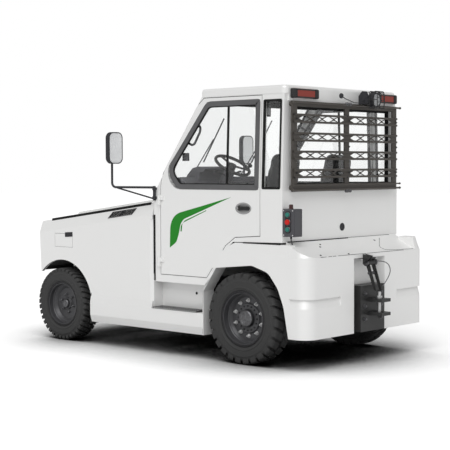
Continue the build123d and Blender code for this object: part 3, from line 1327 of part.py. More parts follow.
def rim_profile(rim_r, width, disc_y, hub_r, hub_out, bore_r):
    """Half section of a steel rim: barrel with lips, disc and hub round the bore."""
    half = width / 2 - 20
    polygon([
        (bore_r, disc_y - 70),
        (hub_r, disc_y - 70),
        (hub_r + 6, disc_y - 10),
        (rim_r - 40, disc_y - 10),
        (rim_r - 30, -half),
        (rim_r - 0.3, -half),
        (rim_r - 0.3, half),
        (rim_r - 30, half),
        (rim_r - 38, disc_y + 8),
        (hub_r + 10, disc_y + 8),
        (hub_r, hub_out),
        (0, hub_out),
        (0, hub_out - 30),
        (bore_r, hub_out - 30),
    ])


DISC_Y = 10.0
STUD_R = 11.0
STUD_LENGTH = 26.0
REAR_SHAFT_R = 45.0
WHEELS = (  # name, axle x, axle z, centre y, tyre d, tyre width, rim d
    ("front", FRONT_AXLE_X, FRONT_AXLE_Z, FRONT_TRACK_HALF, FRONT_TYRE_D, FRONT_TYRE_W, FRONT_RIM_D),
    ("rear", REAR_AXLE_X, REAR_AXLE_Z, REAR_TRACK_HALF, REAR_TYRE_D, REAR_TYRE_W, REAR_RIM_D),
)
HUBS = (  # hub r, hub out, bore r, stud circle r, studs
    (54.0, 60.0, SPINDLE_R, 95.0, 6),
    (90.0, 75.0, REAR_SHAFT_R, 162.5, 10),
)
for wheel, hub in zip(WHEELS, HUBS):
    name, axle_x, axle_z, centre_y, tyre_d, tyre_w, rim_d = wheel
    hub_r, hub_out, bore_r, studs_r, studs = hub
    plane = wheel_plane(axle_x, centre_y, axle_z)
    spin_axis = Axis((axle_x, centre_y, axle_z), (0, 1, 0))
    with BuildPart() as tyre:
        with BuildSketch(plane):
            tyre_profile(tyre_d / 2, rim_d / 2, tyre_w)
        revolve(axis=spin_axis)
    save(tyre, f"{name}_tyre_left")
    save_mirrored(tyre, f"{name}_tyre_right")
    with BuildPart() as rim:
        with BuildSketch(plane):
            rim_profile(rim_d / 2, tyre_w, DISC_Y, hub_r, hub_out, bore_r + SHAFT_CLEARANCE)
        revolve(axis=spin_axis)
        with BuildSketch(Plane(origin=(axle_x, centre_y + DISC_Y + 6, axle_z), z_dir=(0, 1, 0))):
            with PolarLocations(studs_r, studs):
                Circle(STUD_R)
        extrude(amount=STUD_LENGTH)
    save(rim, f"{name}_rim_left")
    save_mirrored(rim, f"{name}_rim_right")

# Rear axle: housing with the drive unit and the hub shafts
HOUSING_R = 62.0
DRIVE_R = 170.0
with BuildPart() as rear_axle:
    with BuildSketch(side_plane(REAR_TRACK_HALF - 70)):
        with Locations((REAR_AXLE_X, REAR_AXLE_Z)):
            Circle(HOUSING_R)
    extrude(amount=2 * (REAR_TRACK_HALF - 70))
    with BuildSketch(side_plane(REAR_TRACK_HALF + 35)):
        with Locations((REAR_AXLE_X, REAR_AXLE_Z)):
            Circle(REAR_SHAFT_R)
    extrude(amount=2 * (REAR_TRACK_HALF + 35))
    with BuildSketch(side_plane(130)):
        with Locations((REAR_AXLE_X, REAR_AXLE_Z)):
            Circle(DRIVE_R)
    extrude(amount=260)
    for y in (-SPRING_Y, SPRING_Y):
        block((REAR_AXLE_X - 60, REAR_AXLE_X + 60), (y - 45, y + 45), (REAR_AXLE_Z, RAIL_BOTTOM_Z))
save(rear_axle, "rear_axle")
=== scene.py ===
"""Studio scene of an electric baggage tractor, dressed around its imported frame.

Lengths are millimetres of the frame's own axes, X forwards, Y to the left and Z up,
until a mesh is published, which turns them into metres.
"""

import logging
import math
from dataclasses import dataclass
from enum import Enum
from itertools import product
from typing import Callable, Iterable, Self, Sequence

import bmesh
import bpy
from mathutils import Matrix, Vector
from mathutils.bvhtree import BVHTree


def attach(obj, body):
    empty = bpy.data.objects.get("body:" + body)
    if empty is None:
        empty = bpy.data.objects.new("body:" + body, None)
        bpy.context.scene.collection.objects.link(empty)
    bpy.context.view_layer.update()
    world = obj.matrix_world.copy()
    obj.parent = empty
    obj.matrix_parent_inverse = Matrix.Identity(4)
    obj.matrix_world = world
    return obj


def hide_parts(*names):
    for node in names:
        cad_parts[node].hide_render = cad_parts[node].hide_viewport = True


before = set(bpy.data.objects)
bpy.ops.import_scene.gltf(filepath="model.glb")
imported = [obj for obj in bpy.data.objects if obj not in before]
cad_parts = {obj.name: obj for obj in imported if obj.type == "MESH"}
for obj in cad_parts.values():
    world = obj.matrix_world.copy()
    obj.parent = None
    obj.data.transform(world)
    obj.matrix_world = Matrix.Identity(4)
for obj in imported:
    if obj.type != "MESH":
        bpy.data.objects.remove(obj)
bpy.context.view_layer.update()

log = logging.getLogger("tractor")

Point = Sequence[float]
Flat = tuple[float, float]
Corner = tuple[float, float, float]
Colour = tuple[float, float, float]
Socket = bpy.types.NodeSocket
Inputs = dict[str | int, object]
Outline = Sequence[Flat]
Place = Callable[..., Point]

MM = 0.001
BELT_Z = 1590.0
DOOR_Y = 884.0
SIDE_LEAN = math.tan(math.radians(2.2))
FRONT_AXLE: Flat = (1500.0, 375.0)
REAR_AXLE: Flat = (-1000.0, 418.0)
FORWARDS: Point = (1, 0, 0)
BACKWARDS: Point = (-1, 0, 0)
LEFTWARDS: Point = (0, 1, 0)
UPWARDS: Point = (0, 0, 1)
DOWNWARDS: Point = (0, 0, -1)


class Body(str, Enum):
    """Moving bodies of the frame."""

    TRACTOR = "tractor"
    DOOR_LEFT = "door_left_body"
    DOOR_RIGHT = "door_right_body"
    BONNET = "bonnet_body"
    STEERING_WHEEL = "steering_wheel_body"
    FRONT_LEFT = "front_wheel_left"
    FRONT_RIGHT = "front_wheel_right"
    REAR_LEFT = "rear_wheel_left"
    REAR_RIGHT = "rear_wheel_right"
    PIN = "hitch_pin_body"


# ---- geometry ----


def linear(colour: Colour) -> tuple[float, float, float, float]:
    """Turn a display colour into the linear values that shaders take.

    Args:
        colour: red, green and blue as seen, from 0 to 1.

    Returns:
        Linear red, green, blue and an alpha of 1.
    """
    red, green, blue = (c / 12.92 if c <= 0.04045 else ((c + 0.055) / 1.055) ** 2.4 for c in colour)
    return red, green, blue, 1.0


def rounded(corners: Sequence[Corner], steps: int = 6) -> list[Flat]:
    """Closed outline with each corner rounded by its own radius.

    Args:
        corners: first coordinate, second coordinate and radius of each corner.
        steps: segments in each rounded corner.

    Returns:
        The outline's points.
    """
    outline: list[Flat] = []
    count = len(corners)
    for index, (u, v, radius) in enumerate(corners):
        here = Vector((u, v))
        before = (Vector(corners[index - 1][:2]) - here).normalized()
        after = (Vector(corners[(index + 1) % count][:2]) - here).normalized()
        half = before.angle(after) / 2
        if radius <= 0 or half > math.radians(89):
            outline.append((u, v))
            continue
        reach = radius / math.tan(half)
        centre = here + (before + after).normalized() * (radius / math.sin(half))
        start = here + before * reach - centre
        end = here + after * reach - centre
        sweep = start.angle_signed(end)
        for step in range(steps + 1):
            turn = -sweep * step / steps
            cos_t, sin_t = math.cos(turn), math.sin(turn)
            outline.append((
                centre.x + start.x * cos_t - start.y * sin_t, centre.y + start.x * sin_t + start.y * cos_t))
    return outline


def panel(u: Flat, v: Flat, radius: float, steps: int = 6) -> list[Flat]:
    """Rounded rectangle between limits on two flat axes, from its first corner on."""
    return rounded([(u[0], v[0], radius), (u[1], v[0], radius), (u[1], v[1], radius), (u[0], v[1], radius)], steps)


def turns(count: int) -> list[float]:
    """Angles evenly spaced round a circle."""
    return [2 * math.pi * i / count for i in range(count)]


def spaced(start: float, end: float, count: int) -> list[float]:
    """Evenly spaced values from one to another."""
    return [start + (end - start) * i / (count - 1) for i in range(count)]


def inset(outline: Outline, distance: float) -> list[Flat]:
    """Outline moved inwards by a distance, or outwards by a negative one.

    Args:
        outline: closed outline.
        distance: how far each edge moves towards the inside.

    Returns:
        As many points as the outline has.
    """
    area = sum(a[0] * b[1] - b[0] * a[1] for a, b in zip(outline, [*outline[1:], outline[0]]))
    turn = 1.0 if area > 0 else -1.0
    moved: list[Flat] = []
    count = len(outline)
    for index in range(count):
        before = (Vector(outline[index]) - Vector(outline[index - 1])).normalized()
        after = (Vector(outline[(index + 1) % count]) - Vector(outline[index])).normalized()
        first = Vector((-before.y, before.x)) * turn
        second = Vector((-after.y, after.x)) * turn
        middle = (first + second).normalized()
        reach = distance / max(0.4, middle.dot(first))
        moved.append((outline[index][0] + middle.x * reach, outline[index][1] + middle.y * reach))
    return moved


def evenly(path: Sequence[Flat], count: int) -> list[Flat]:
    """Points at even distances along an open path.

    Args:
        path: the path's own points.
        count: how many points to return.

    Returns:
        The new points, with the path's ends.
    """
    reach = [0.0]
    for one, two in zip(path, path[1:]):
        reach.append(reach[-1] + math.dist(one, two))
    made: list[Flat] = []
    leg = 0
    for index in range(count):
        goal = reach[-1] * index / (count - 1)
        while leg < len(path) - 2 and reach[leg + 1] < goal:
            leg += 1
        share = min(1.0, (goal - reach[leg]) / max(1e-9, reach[leg + 1] - reach[leg]))
        (u0, v0), (u1, v1) = path[leg], path[leg + 1]
        made.append((u0 + (u1 - u0) * share, v0 + (v1 - v0) * share))
    return made


def bent(corners: Sequence[tuple[Point, float]], steps: int = 6) -> list[Vector]:
    """Open path in space whose inner corners are rounded.

    Args:
        corners: each point with the radius of the bend there.
        steps: segments in each bend.

    Returns:
        The path's points.
    """
    path = [Vector(corners[0][0])]
    for (before, _), (here, radius), (after, _) in zip(corners, corners[1:], corners[2:]):
        corner = Vector(here)
        back = (Vector(before) - corner).normalized()
        ahead = (Vector(after) - corner).normalized()
        half = back.angle(ahead) / 2
        if radius <= 0 or half > math.radians(89):
            path.append(corner)
            continue
        reach = radius / math.tan(half)
        centre = corner + (back + ahead).normalized() * (radius / math.sin(half))
        start, end = corner + back * reach - centre, corner + ahead * reach - centre
        axis, sweep = start.cross(end).normalized(), start.angle(end)
        for step in range(steps + 1):
            path.append(centre + Matrix.Rotation(sweep * step / steps, 3, axis) @ start)
    path.append(Vector(corners[-1][0]))
    return path


def cab_side(x: float, z: float, out: float = 0.0) -> Point:
    """Point on the cab's left side, which leans inwards above the belt line.

    Args:
        x: place along the tractor.
        z: height.
        out: distance outwards from the panel's surface.

    Returns:
        The point in space.
    """
    return x, DOOR_Y - max(0.0, z - BELT_Z) * SIDE_LEAN + out, z


def facing(axis: str, at: float, outwards: float = 1.0) -> Callable[[float, float, float], Point]:
    """Placement on a plane square to an axis.

    Args:
        axis: x, y or z, the direction that the plane faces.
        at: where the plane is on that axis.
        outwards: 1 or -1, the way that counts as out of the surface.

    Returns:
        A function from two flat coordinates and a height off the plane to a point.
    """
    def place(u: float, v: float, out: float = 0.0) -> Point:
        """Point at flat coordinates and a height off the plane."""
        deep = at + outwards * out
        return {"x": (deep, u, v), "y": (u, deep, v), "z": (u, v, deep)}[axis]

    return place


def linked(name: str, data: bpy.types.ID) -> bpy.types.Object:
    """New object of the scene with the given data."""
    made = bpy.data.objects.new(name, data)
    bpy.context.scene.collection.objects.link(made)
    return made


class Maker:
    """Collects the faces of one piece, in millimetres. Most methods return the maker."""

    def __init__(self) -> None:
        """Start with an empty mesh."""
        self.mesh = bmesh.new()

    def loft(self, rings: Sequence[Sequence[Point]], caps: bool = True) -> Self:
        """Skin closed rings of equal length, each joined to the next.

        Args:
            rings: the rings of points.
            caps: whether the first and last rings get a face.
        """
        rows = [[self.mesh.verts.new(Vector(p)) for p in ring] for ring in rings]
        for first, second in zip(rows, rows[1:]):
            for i in range(len(first)):
                j = (i + 1) % len(first)
                self.mesh.faces.new((first[i], first[j], second[j], second[i]))
        if caps:
            self.mesh.faces.new(rows[0][::-1])
            self.mesh.faces.new(rows[-1])
        return self

    def plate(self, outline: Outline, place: Place, low: float, high: float) -> Self:
        """Closed plate of an outline between two heights off a surface."""
        return self.loft([[place(u, v, low) for u, v in outline], [place(u, v, high) for u, v in outline]])

    def ring(
        self, outer: Outline, inner: Outline, place: Place, low: float, high: float
    ) -> Self:
        """Closed ring between two outlines of equal length.

        Args:
            outer: outer outline.
            inner: inner outline.
            place: puts flat coordinates and a height on the surface.
            low: lower height off the surface.
            high: upper height off the surface.
        """
        rows = [
            [place(u, v, low) for u, v in outer],
            [place(u, v, high) for u, v in outer],
            [place(u, v, high) for u, v in inner],
            [place(u, v, low) for u, v in inner],
        ]
        return self.loft([*rows, rows[0]], caps=False).weld()

    def rim(
        self, outline: Outline, width: float, place: Place, low: float, high: float
    ) -> Self:
        """Closed ring of an even width inside an outline."""
        return self.ring(outline, inset(outline, width), place, low, high)

    def domed(self, outline: Outline, place: Place, levels: Sequence[Flat]) -> Self:
        """Closed plate whose edge moves as it rises.

        Args:
            outline: the edge before it moves.
            place: puts flat coordinates and a height on the surface.
            levels: the height and the distance inwards of each level.
        """
        return self.loft([[place(u, v, out) for u, v in inset(outline, step)] for out, step in levels])

    def weld(self) -> Self:
        """Merge points that coincide."""
        bmesh.ops.remove_doubles(self.mesh, verts=self.mesh.verts, dist=0.001)
        return self

    def box(self, x: Flat, y: Flat, z: Flat) -> Self:
        """Block between limits on the three axes."""
        return self.plate([(x[0], y[0]), (x[1], y[0]), (x[1], y[1]), (x[0], y[1])], facing("z", 0.0), z[0], z[1])

    def lathe(self, profile: Outline, centre: Point, axis: Point, steps: int = 64) -> Self:
        """Turn a profile about an axis.

        Args:
            profile: radius and distance along the axis of each point.
            centre: point on the axis where the distance is 0.
            axis: direction of the axis.
            steps: segments round the axis.
        """
        along = Vector(axis).normalized()
        side = along.orthogonal().normalized()
        across = along.cross(side)
        hub = Vector(centre)
        rows = []
        for radius, reach in profile:
            if radius < 0.01:
                rows.append([self.mesh.verts.new(hub + along * reach)])
                continue
            rows.append([
                self.mesh.verts.new(hub + along * reach + (side * math.cos(a) + across * math.sin(a)) * radius)
                for a in turns(steps)
            ])
        for first, second in zip(rows, rows[1:]):
            for i in range(steps):
                j = (i + 1) % steps
                if len(first) == 1 and len(second) > 1:
                    self.mesh.faces.new((first[0], second[j], second[i]))
                elif len(second) == 1 and len(first) > 1:
                    self.mesh.faces.new((first[i], first[j], second[0]))
                elif len(first) > 1:
                    self.mesh.faces.new((first[i], first[j], second[j], second[i]))
        for row, flip in ((rows[0], True), (rows[-1], False)):
            if len(row) > 1 and profile[0] != profile[-1]:
                self.mesh.faces.new(row[::-1] if flip else row)
        return self.weld() if profile[0] == profile[-1] else self

    def turned(self, profile: Outline, places: Iterable[Point], axis: Point, steps: int) -> Self:
        """Turn the same profile at several places; see lathe."""
        for place in places:
            self.lathe(profile, place, axis, steps)
        return self

    def tube(self, path: Sequence[Point], radius: float, sides: int = 12, closed: bool = False) -> Self:
        """Round bar along a path.

        Args:
            path: points of the middle line.
            radius: the bar's radius.
            sides: facets round the bar.
            closed: whether the path closes on itself.
        """
        points = [Vector(p) for p in path]
        count = len(points)
        rings = []
        normal: Vector | None = None
        for i, here in enumerate(points):
            ahead = points[(i + 1) % count] if closed or i + 1 < count else here
            back = points[i - 1] if closed or i > 0 else here
            along = (ahead - back).normalized()
            normal = along.orthogonal() if normal is None else normal - along * normal.dot(along)
            normal.normalize()
            across = along.cross(normal)
            rings.append([
                here + (normal * math.cos(a) + across * math.sin(a)) * radius for a in turns(sides)
            ])
        if closed:
            return self.loft([*rings, rings[0]], caps=False).weld()
        return self.loft(rings)

    def bolt(self, centre: Point, axis: Point, radius: float, height: float) -> Self:
        """Hexagon head on a washer, with a chamfered top."""
        washer = [(radius * 1.25, 0.0), (radius * 1.25, height * 0.18), (radius * 1.05, height * 0.2)]
        head = [(radius, height * 0.1), (radius, height * 0.85), (radius * 0.82, height)]
        return self.lathe(washer, centre, axis, 20).lathe(head, centre, axis, 6)

    def repeat(self, count: int, centre: Point, axis: Point) -> Self:
        """Turn what is there about an axis into evenly spaced copies."""
        source = list(self.mesh.verts) + list(self.mesh.edges) + list(self.mesh.faces)
        for step in range(1, count):
            made = bmesh.ops.duplicate(self.mesh, geom=source)["geom"]
            bmesh.ops.rotate(
                self.mesh, cent=Vector(centre), matrix=Matrix.Rotation(2 * math.pi * step / count, 3, Vector(axis)),
                verts=[g for g in made if isinstance(g, bmesh.types.BMVert)],
            )
        return self

    def mirrored(self, keep: bool = True) -> Self:
        """Reflect across the tractor's middle plane, keeping the original or not."""
        verts = list(self.mesh.verts)
        if keep:
            source = verts + list(self.mesh.edges) + list(self.mesh.faces)
            made = bmesh.ops.duplicate(self.mesh, geom=source)["geom"]
            verts = [g for g in made if isinstance(g, bmesh.types.BMVert)]
        for vert in verts:
            vert.co.y = -vert.co.y
        return self

    def shifted(self, shift: float) -> Self:
        """Copy moved across the tractor."""
        maker = Maker()
        maker.mesh = self.mesh.copy()
        for vert in maker.mesh.verts:
            vert.co.y += shift
        return maker

    def placed(self, name: str) -> bpy.types.Object:
        """Turn the faces into an object of the scene, in metres, and end this maker."""
        bmesh.ops.recalc_face_normals(self.mesh, faces=self.mesh.faces)
        bmesh.ops.scale(self.mesh, vec=Vector((MM, MM, MM)), verts=self.mesh.verts)
        data = bpy.data.meshes.new(name)
        self.mesh.to_mesh(data)
        self.mesh.free()
        return linked(name, data)

    def publish(
        self, name: str, slot: str, finish: "Finish", body: Body = Body.TRACTOR, *, bevel: float = 0.0,
        segments: int = 2, smooth: float = 35.0, smoother: int = 0, replaces: Sequence[str] = (),
    ) -> bpy.types.Object:
        """Turn the faces into a piece of the model.

        Args:
            name: the piece's name.
            slot: the record's material slot; not used.
            finish: the finish that it gets.
            body: the body that it rides on.
            bevel: width of the rounded edges.
            segments: segments of the rounded edges.
            smooth: edges sharper than this angle stay sharp.
            smoother: levels of subdivision.
            replaces: nodes that the piece stands for.

        Returns:
            The object.
        """
        piece = self.placed(name)
        data = piece.data
        data.polygons.foreach_set("use_smooth", [True] * len(data.polygons))
        data.set_sharp_from_angle(angle=math.radians(smooth))
        if bevel:
            rounding = piece.modifiers.new("rounded_edges", "BEVEL")
            rounding.width, rounding.segments = bevel * MM, segments
            rounding.limit_method, rounding.angle_limit = "ANGLE", math.radians(smooth)
            rounding.harden_normals = True
        if smoother:
            surface = piece.modifiers.new("smooth_surface", "SUBSURF")
            surface.levels = surface.render_levels = smoother
        data.materials.append(finish.material())
        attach(piece, body.value)
        if replaces:
            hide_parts(*replaces)
        log.info("%s: %d faces", name, len(data.polygons))
        return piece


def hang_cord(
    name: str, route: Sequence[Point], diameter: float, finish: "Finish"
) -> bpy.types.Object:
    """Cord held at both ends, along a smooth spline.

    Args:
        name: the piece's name.
        route: control points of the spline, from where the cord leaves the object.
        diameter: the cord's diameter.
        finish: the finish that it gets.

    Returns:
        The object.
    """
    data = bpy.data.curves.new(name, "CURVE")
    data.dimensions = "3D"
    data.bevel_depth, data.bevel_resolution = diameter / 2 * MM, 4
    data.resolution_u = 24
    spline = data.splines.new("NURBS")
    spline.points.add(len(route) - 1)
    for point, place in zip(spline.points, route):
        point.co = (*(c * MM for c in place), 1.0)
    spline.order_u, spline.use_endpoint_u = 3, True
    data.materials.append(finish.material())
    piece = linked(name, data)
    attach(piece, Body.TRACTOR.value)
    return piece


# ---- shader effects ----


class Graph:
    """Short calls for building a node tree."""

    def __init__(self, tree: bpy.types.NodeTree) -> None:
        """Work on one node tree."""
        self.tree = tree

    @classmethod
    def of(cls, owner: bpy.types.ID) -> Self:
        """Emptied node tree of a material or a world."""
        owner.use_nodes = True
        owner.node_tree.nodes.clear()
        return cls(owner.node_tree)

    def node(self, kind: str, inputs: Inputs | None = None, **settings: object) -> bpy.types.Node:
        """Add a node, set its properties, then fill its inputs."""
        made = self.tree.nodes.new(kind)
        for key, value in settings.items():
            setattr(made, key, value)
        self.fill(made, inputs or {})
        return made

    def fill(self, node: bpy.types.Node, inputs: Inputs) -> None:
        """Link each given input, or set its own value.

        Args:
            node: the node.
            inputs: a socket or a value for each input, by its name or place.
        """
        for key, value in inputs.items():
            if isinstance(value, bpy.types.NodeSocket):
                self.tree.links.new(value, node.inputs[key])
            elif value is not None:
                node.inputs[key].default_value = value

    def place(self) -> Socket:
        """Place in the object's own axes."""
        return self.node("ShaderNodeTexCoord").outputs["Object"]

    def math(self, operation: str, first: object, second: object = None, clamp: bool = False) -> Socket:
        """Result of a maths node."""
        return self.node("ShaderNodeMath", {0: first, 1: second}, operation=operation, use_clamp=clamp).outputs[0]

    def product(self, *values: object, clamp: bool = False) -> Socket:
        """Product of several values."""
        result, *others = values
        for index, value in enumerate(others, 2):
            result = self.math("MULTIPLY", result, value, clamp and index == len(values))
        return result

    def noise(self, place: object, scale: object, detail: float = 3.0, rough: float = 0.55) -> Socket:
        """Fractal noise value at a place."""
        return self.node("ShaderNodeTexNoise", {
            "Vector": place, "Scale": scale, "Detail": detail, "Roughness": rough}).outputs["Fac"]

    def spread(self, value: object, low: object, high: object, to_low: float = 0.0, to_high: float = 1.0) -> Socket:
        """Map a range of values onto another, clamped."""
        ends = dict(enumerate((value, low, high, to_low, to_high)))
        return self.node("ShaderNodeMapRange", ends, interpolation_type="SMOOTHSTEP").outputs["Result"]

    def blend(self, share: object, first: object, second: object) -> Socket:
        """Mix two colours."""
        return self.node("ShaderNodeMix", {0: share, 6: first, 7: second}, data_type="RGBA").outputs[2]


class Effect(str, Enum):
    """Shader node groups shared by the finishes."""

    # Edges in another colour: wear, and on the white body, the tyres and the rims also painted edge shade and
    # highlights.
    EDGE_WEAR_AND_LIGHT = "edge_wear_and_light_mask"
    DUST = "settled_dust"
    GRAIN = "moulded_grain"
    SKIN = "paint_skin"


@dataclass(frozen=True)
class EffectGroup:
    """A named node group with its inputs and outputs."""

    effect: Effect
    inputs: tuple[tuple[str, float], ...]
    outputs: tuple[str, ...]
    build: Callable[[Graph, bpy.types.Node, bpy.types.Node], None]

    def tree(self) -> bpy.types.NodeTree:
        """The node group, built on its first use.

        Returns:
            The group's node tree.
        """
        name = self.effect.value
        if name in bpy.data.node_groups:
            return bpy.data.node_groups[name]
        tree = bpy.data.node_groups.new(name, "ShaderNodeTree")
        for label, value in self.inputs:
            tree.interface.new_socket(label, in_out="INPUT", socket_type="NodeSocketFloat").default_value = value
        for label in self.outputs:
            tree.interface.new_socket(label, in_out="OUTPUT", socket_type="NodeSocketFloat")
        graph = Graph(tree)
        self.build(graph, graph.node("NodeGroupInput"), graph.node("NodeGroupOutput"))
        return tree


def build_edge_wear_and_light(graph: Graph, entry: bpy.types.Node, leave: bpy.types.Node) -> None:
    """Mask of edges, for wear and for painted edge shade and highlights: where a rounded normal leaves the true one,
    broken up by noise.
    """
    soft = graph.node("ShaderNodeBevel", {"Radius": entry.outputs["Width"]}, samples=4)
    true = graph.node("ShaderNodeNewGeometry")
    match = graph.node(
        "ShaderNodeVectorMath", {0: soft.outputs["Normal"], 1: true.outputs["Normal"]}, operation="DOT_PRODUCT")
    edge = graph.spread(graph.math("SUBTRACT", 1.0, match.outputs["Value"]), 0.02, 0.22)
    chips = graph.spread(graph.noise(graph.place(), entry.outputs["Scale"], 5.0, 0.7), 0.42, 0.62)
    graph.fill(leave, {"Mask": graph.product(edge, chips, entry.outputs["Amount"], clamp=True)})


def build_dust(graph: Graph, entry: bpy.types.Node, leave: bpy.types.Node) -> None:
    """Mask of dust: thicker low down and on faces that look up, and cloudy."""
    place = graph.place()
    height = graph.node("ShaderNodeSeparateXYZ", {0: place}).outputs["Z"]
    normal = graph.node("ShaderNodeNewGeometry").outputs["Normal"]
    up = graph.node("ShaderNodeSeparateXYZ", {0: normal}).outputs["Z"]
    low = graph.spread(height, 0.0, entry.outputs["Height"], 1.0, 0.0)
    both = graph.math("ADD", low, graph.product(graph.spread(up, 0.5, 1.0), 0.5))
    cloud = graph.spread(graph.noise(place, entry.outputs["Scale"], 6.0, 0.65), 0.3, 0.75)
    graph.fill(leave, {"Mask": graph.product(both, cloud, entry.outputs["Amount"], clamp=True)})


def build_grain(graph: Graph, entry: bpy.types.Node, leave: bpy.types.Node) -> None:
    """Pebbled grain of moulded plastic and rubber, with a slow change of tone."""
    place, scale = graph.place(), entry.outputs["Scale"]
    cells = graph.node("ShaderNodeTexVoronoi", {"Vector": place, "Scale": scale}, feature="SMOOTH_F1")
    fine = graph.noise(place, graph.product(scale, 2.3), 3.0)
    graph.fill(leave, {
        "Height": graph.math("ADD", cells.outputs["Distance"], graph.product(fine, 0.6)),
        "Tone": graph.noise(place, entry.outputs["Patch"], 4.0)})


def build_skin(graph: Graph, entry: bpy.types.Node, leave: bpy.types.Node) -> None:
    """Slight ripple of sprayed paint, with a slow change of tone."""
    place = graph.place()
    graph.fill(leave, {
        "Height": graph.noise(place, entry.outputs["Scale"], 2.0, 0.5),
        "Tone": graph.noise(place, entry.outputs["Patch"], 4.0, 0.6)})


EFFECTS = {
    group.effect: group
    for group in (
        EffectGroup(Effect.EDGE_WEAR_AND_LIGHT, (("Width", 0.004), ("Scale", 40.0), ("Amount", 0.5)), ("Mask",), build_edge_wear_and_light),
        EffectGroup(Effect.DUST, (("Height", 0.6), ("Scale", 6.0), ("Amount", 0.3)), ("Mask",), build_dust),
        EffectGroup(Effect.GRAIN, (("Scale", 400.0), ("Patch", 4.0)), ("Height", "Tone"), build_grain),
        EffectGroup(Effect.SKIN, (("Scale", 90.0), ("Patch", 1.6)), ("Height", "Tone"), build_skin),
    )
}


# ---- finishes ----


@dataclass(frozen=True)
class Finish:
    """A finish with a name, which becomes a material on its first use."""

    name: str
    colour: Colour
    roughness: float = 0.5
    metallic: float = 0.0

    def material(self) -> bpy.types.Material:
        """The material of this finish."""
        if self.name in bpy.data.materials:
            return bpy.data.materials[self.name]
        made = bpy.data.materials.new(self.name)
        graph = Graph.of(made)
        shader = graph.node("ShaderNodeBsdfPrincipled", {"Metallic": self.metallic})
        graph.node("ShaderNodeOutputMaterial", {"Surface": self.dress(graph, shader)})
        return made

    def dress(self, graph: Graph, shader: bpy.types.Node) -> Socket:
        """Set up the shader.

        Args:
            graph: the material's node tree.
            shader: its Principled shader.

        Returns:
            The socket that feeds the surface.
        """
        graph.fill(shader, {"Base Color": linear(self.colour), "Roughness": self.roughness})
        return shader.outputs["BSDF"]

    def effect(self, graph: Graph, effect: Effect, **values: float) -> bpy.types.Node:
        """Place a shared effect with its own values."""
        return graph.node("ShaderNodeGroup", values, node_tree=EFFECTS[effect].tree())

    def layered(self, graph: Graph, tone: Socket, dark: float, *layers: tuple[Socket, Colour]) -> Socket:
        """Own colour, darker in patches, under masked layers of other colours."""
        base = graph.blend(tone, linear(self.colour), linear(tuple(c * (1 - dark) for c in self.colour)))
        for mask, colour in layers:
            base = graph.blend(mask, base, linear(colour))
        return base

    def bump(self, graph: Graph, shader: bpy.types.Node, height: Socket, strength: float, distance: float) -> None:
        """Feed a height to the shader's normal."""
        made = graph.node("ShaderNodeBump", {"Strength": strength, "Distance": distance, "Height": height})
        graph.fill(shader, {"Normal": made.outputs["Normal"]})


@dataclass(frozen=True)
class Paint(Finish):
    """Sprayed paint with a colour on its edges (wear, and painted edge light on some finishes), dust and a slight
    ripple.
    """

    edge_wear_and_light_colour: Colour = (0.6, 0.6, 0.6)
    dust: Colour = (0.66, 0.63, 0.59)
    edge_wear_and_light: float = 0.3
    edge_wear_and_light_width: float = 0.004
    dust_amount: float = 0.12
    dust_height: float = 0.7
    tone: float = 0.03
    coat: float = 0.0
    ripple: float = 0.05

    def dress(self, graph: Graph, shader: bpy.types.Node) -> Socket:
        """Set up the shader; see Finish."""
        skin = self.effect(graph, Effect.SKIN, Scale=140.0, Patch=1.4)
        edge_wear_and_light = self.effect(graph, Effect.EDGE_WEAR_AND_LIGHT, Width=self.edge_wear_and_light_width, Scale=55.0, Amount=self.edge_wear_and_light)
        dust = self.effect(graph, Effect.DUST, Height=self.dust_height, Scale=5.0, Amount=self.dust_amount)
        rough = graph.spread(skin.outputs["Tone"], 0.3, 0.7, self.roughness * 0.9, self.roughness * 1.12)
        graph.fill(shader, {
            "Base Color": self.layered(
                graph, skin.outputs["Tone"], self.tone, (edge_wear_and_light.outputs["Mask"], self.edge_wear_and_light_colour),
                (dust.outputs["Mask"], self.dust)),
            "Roughness": graph.math("ADD", rough, graph.product(dust.outputs["Mask"], 0.4), clamp=True),
            "Coat Weight": self.coat, "Coat Roughness": 0.12})
        self.bump(graph, shader, skin.outputs["Height"], self.ripple, 0.001)
        return shader.outputs["BSDF"]


@dataclass(frozen=True)
class Moulded(Finish):
    """Grained plastic or rubber with dust in its low parts, and a colour on its edges: wear, and painted highlights on
    the tyres.
    """

    grain_scale: float = 700.0
    grain: float = 0.25
    tone: float = 0.25
    dust: Colour = (0.5, 0.48, 0.45)
    dust_amount: float = 0.15
    dust_height: float = 0.8
    edge_wear_and_light: float = 0.2
    edge_wear_and_light_colour: Colour = (0.35, 0.35, 0.35)
    gloss: float = 0.3

    def dress(self, graph: Graph, shader: bpy.types.Node) -> Socket:
        """Set up the shader; see Finish."""
        grain = self.effect(graph, Effect.GRAIN, Scale=self.grain_scale, Patch=5.0)
        edge_wear_and_light = self.effect(graph, Effect.EDGE_WEAR_AND_LIGHT, Width=0.003, Scale=70.0, Amount=self.edge_wear_and_light)
        dust = self.effect(graph, Effect.DUST, Height=self.dust_height, Scale=9.0, Amount=self.dust_amount)
        graph.fill(shader, {
            "Base Color": self.layered(
                graph, grain.outputs["Tone"], self.tone, (edge_wear_and_light.outputs["Mask"], self.edge_wear_and_light_colour),
                (dust.outputs["Mask"], self.dust)),
            "Roughness": graph.spread(
                grain.outputs["Tone"], 0.3, 0.7, self.roughness * 0.88, min(1.0, self.roughness * 1.12)),
            "Specular IOR Level": self.gloss})
        self.bump(graph, shader, grain.outputs["Height"], self.grain, 0.0006)
        return shader.outputs["BSDF"]


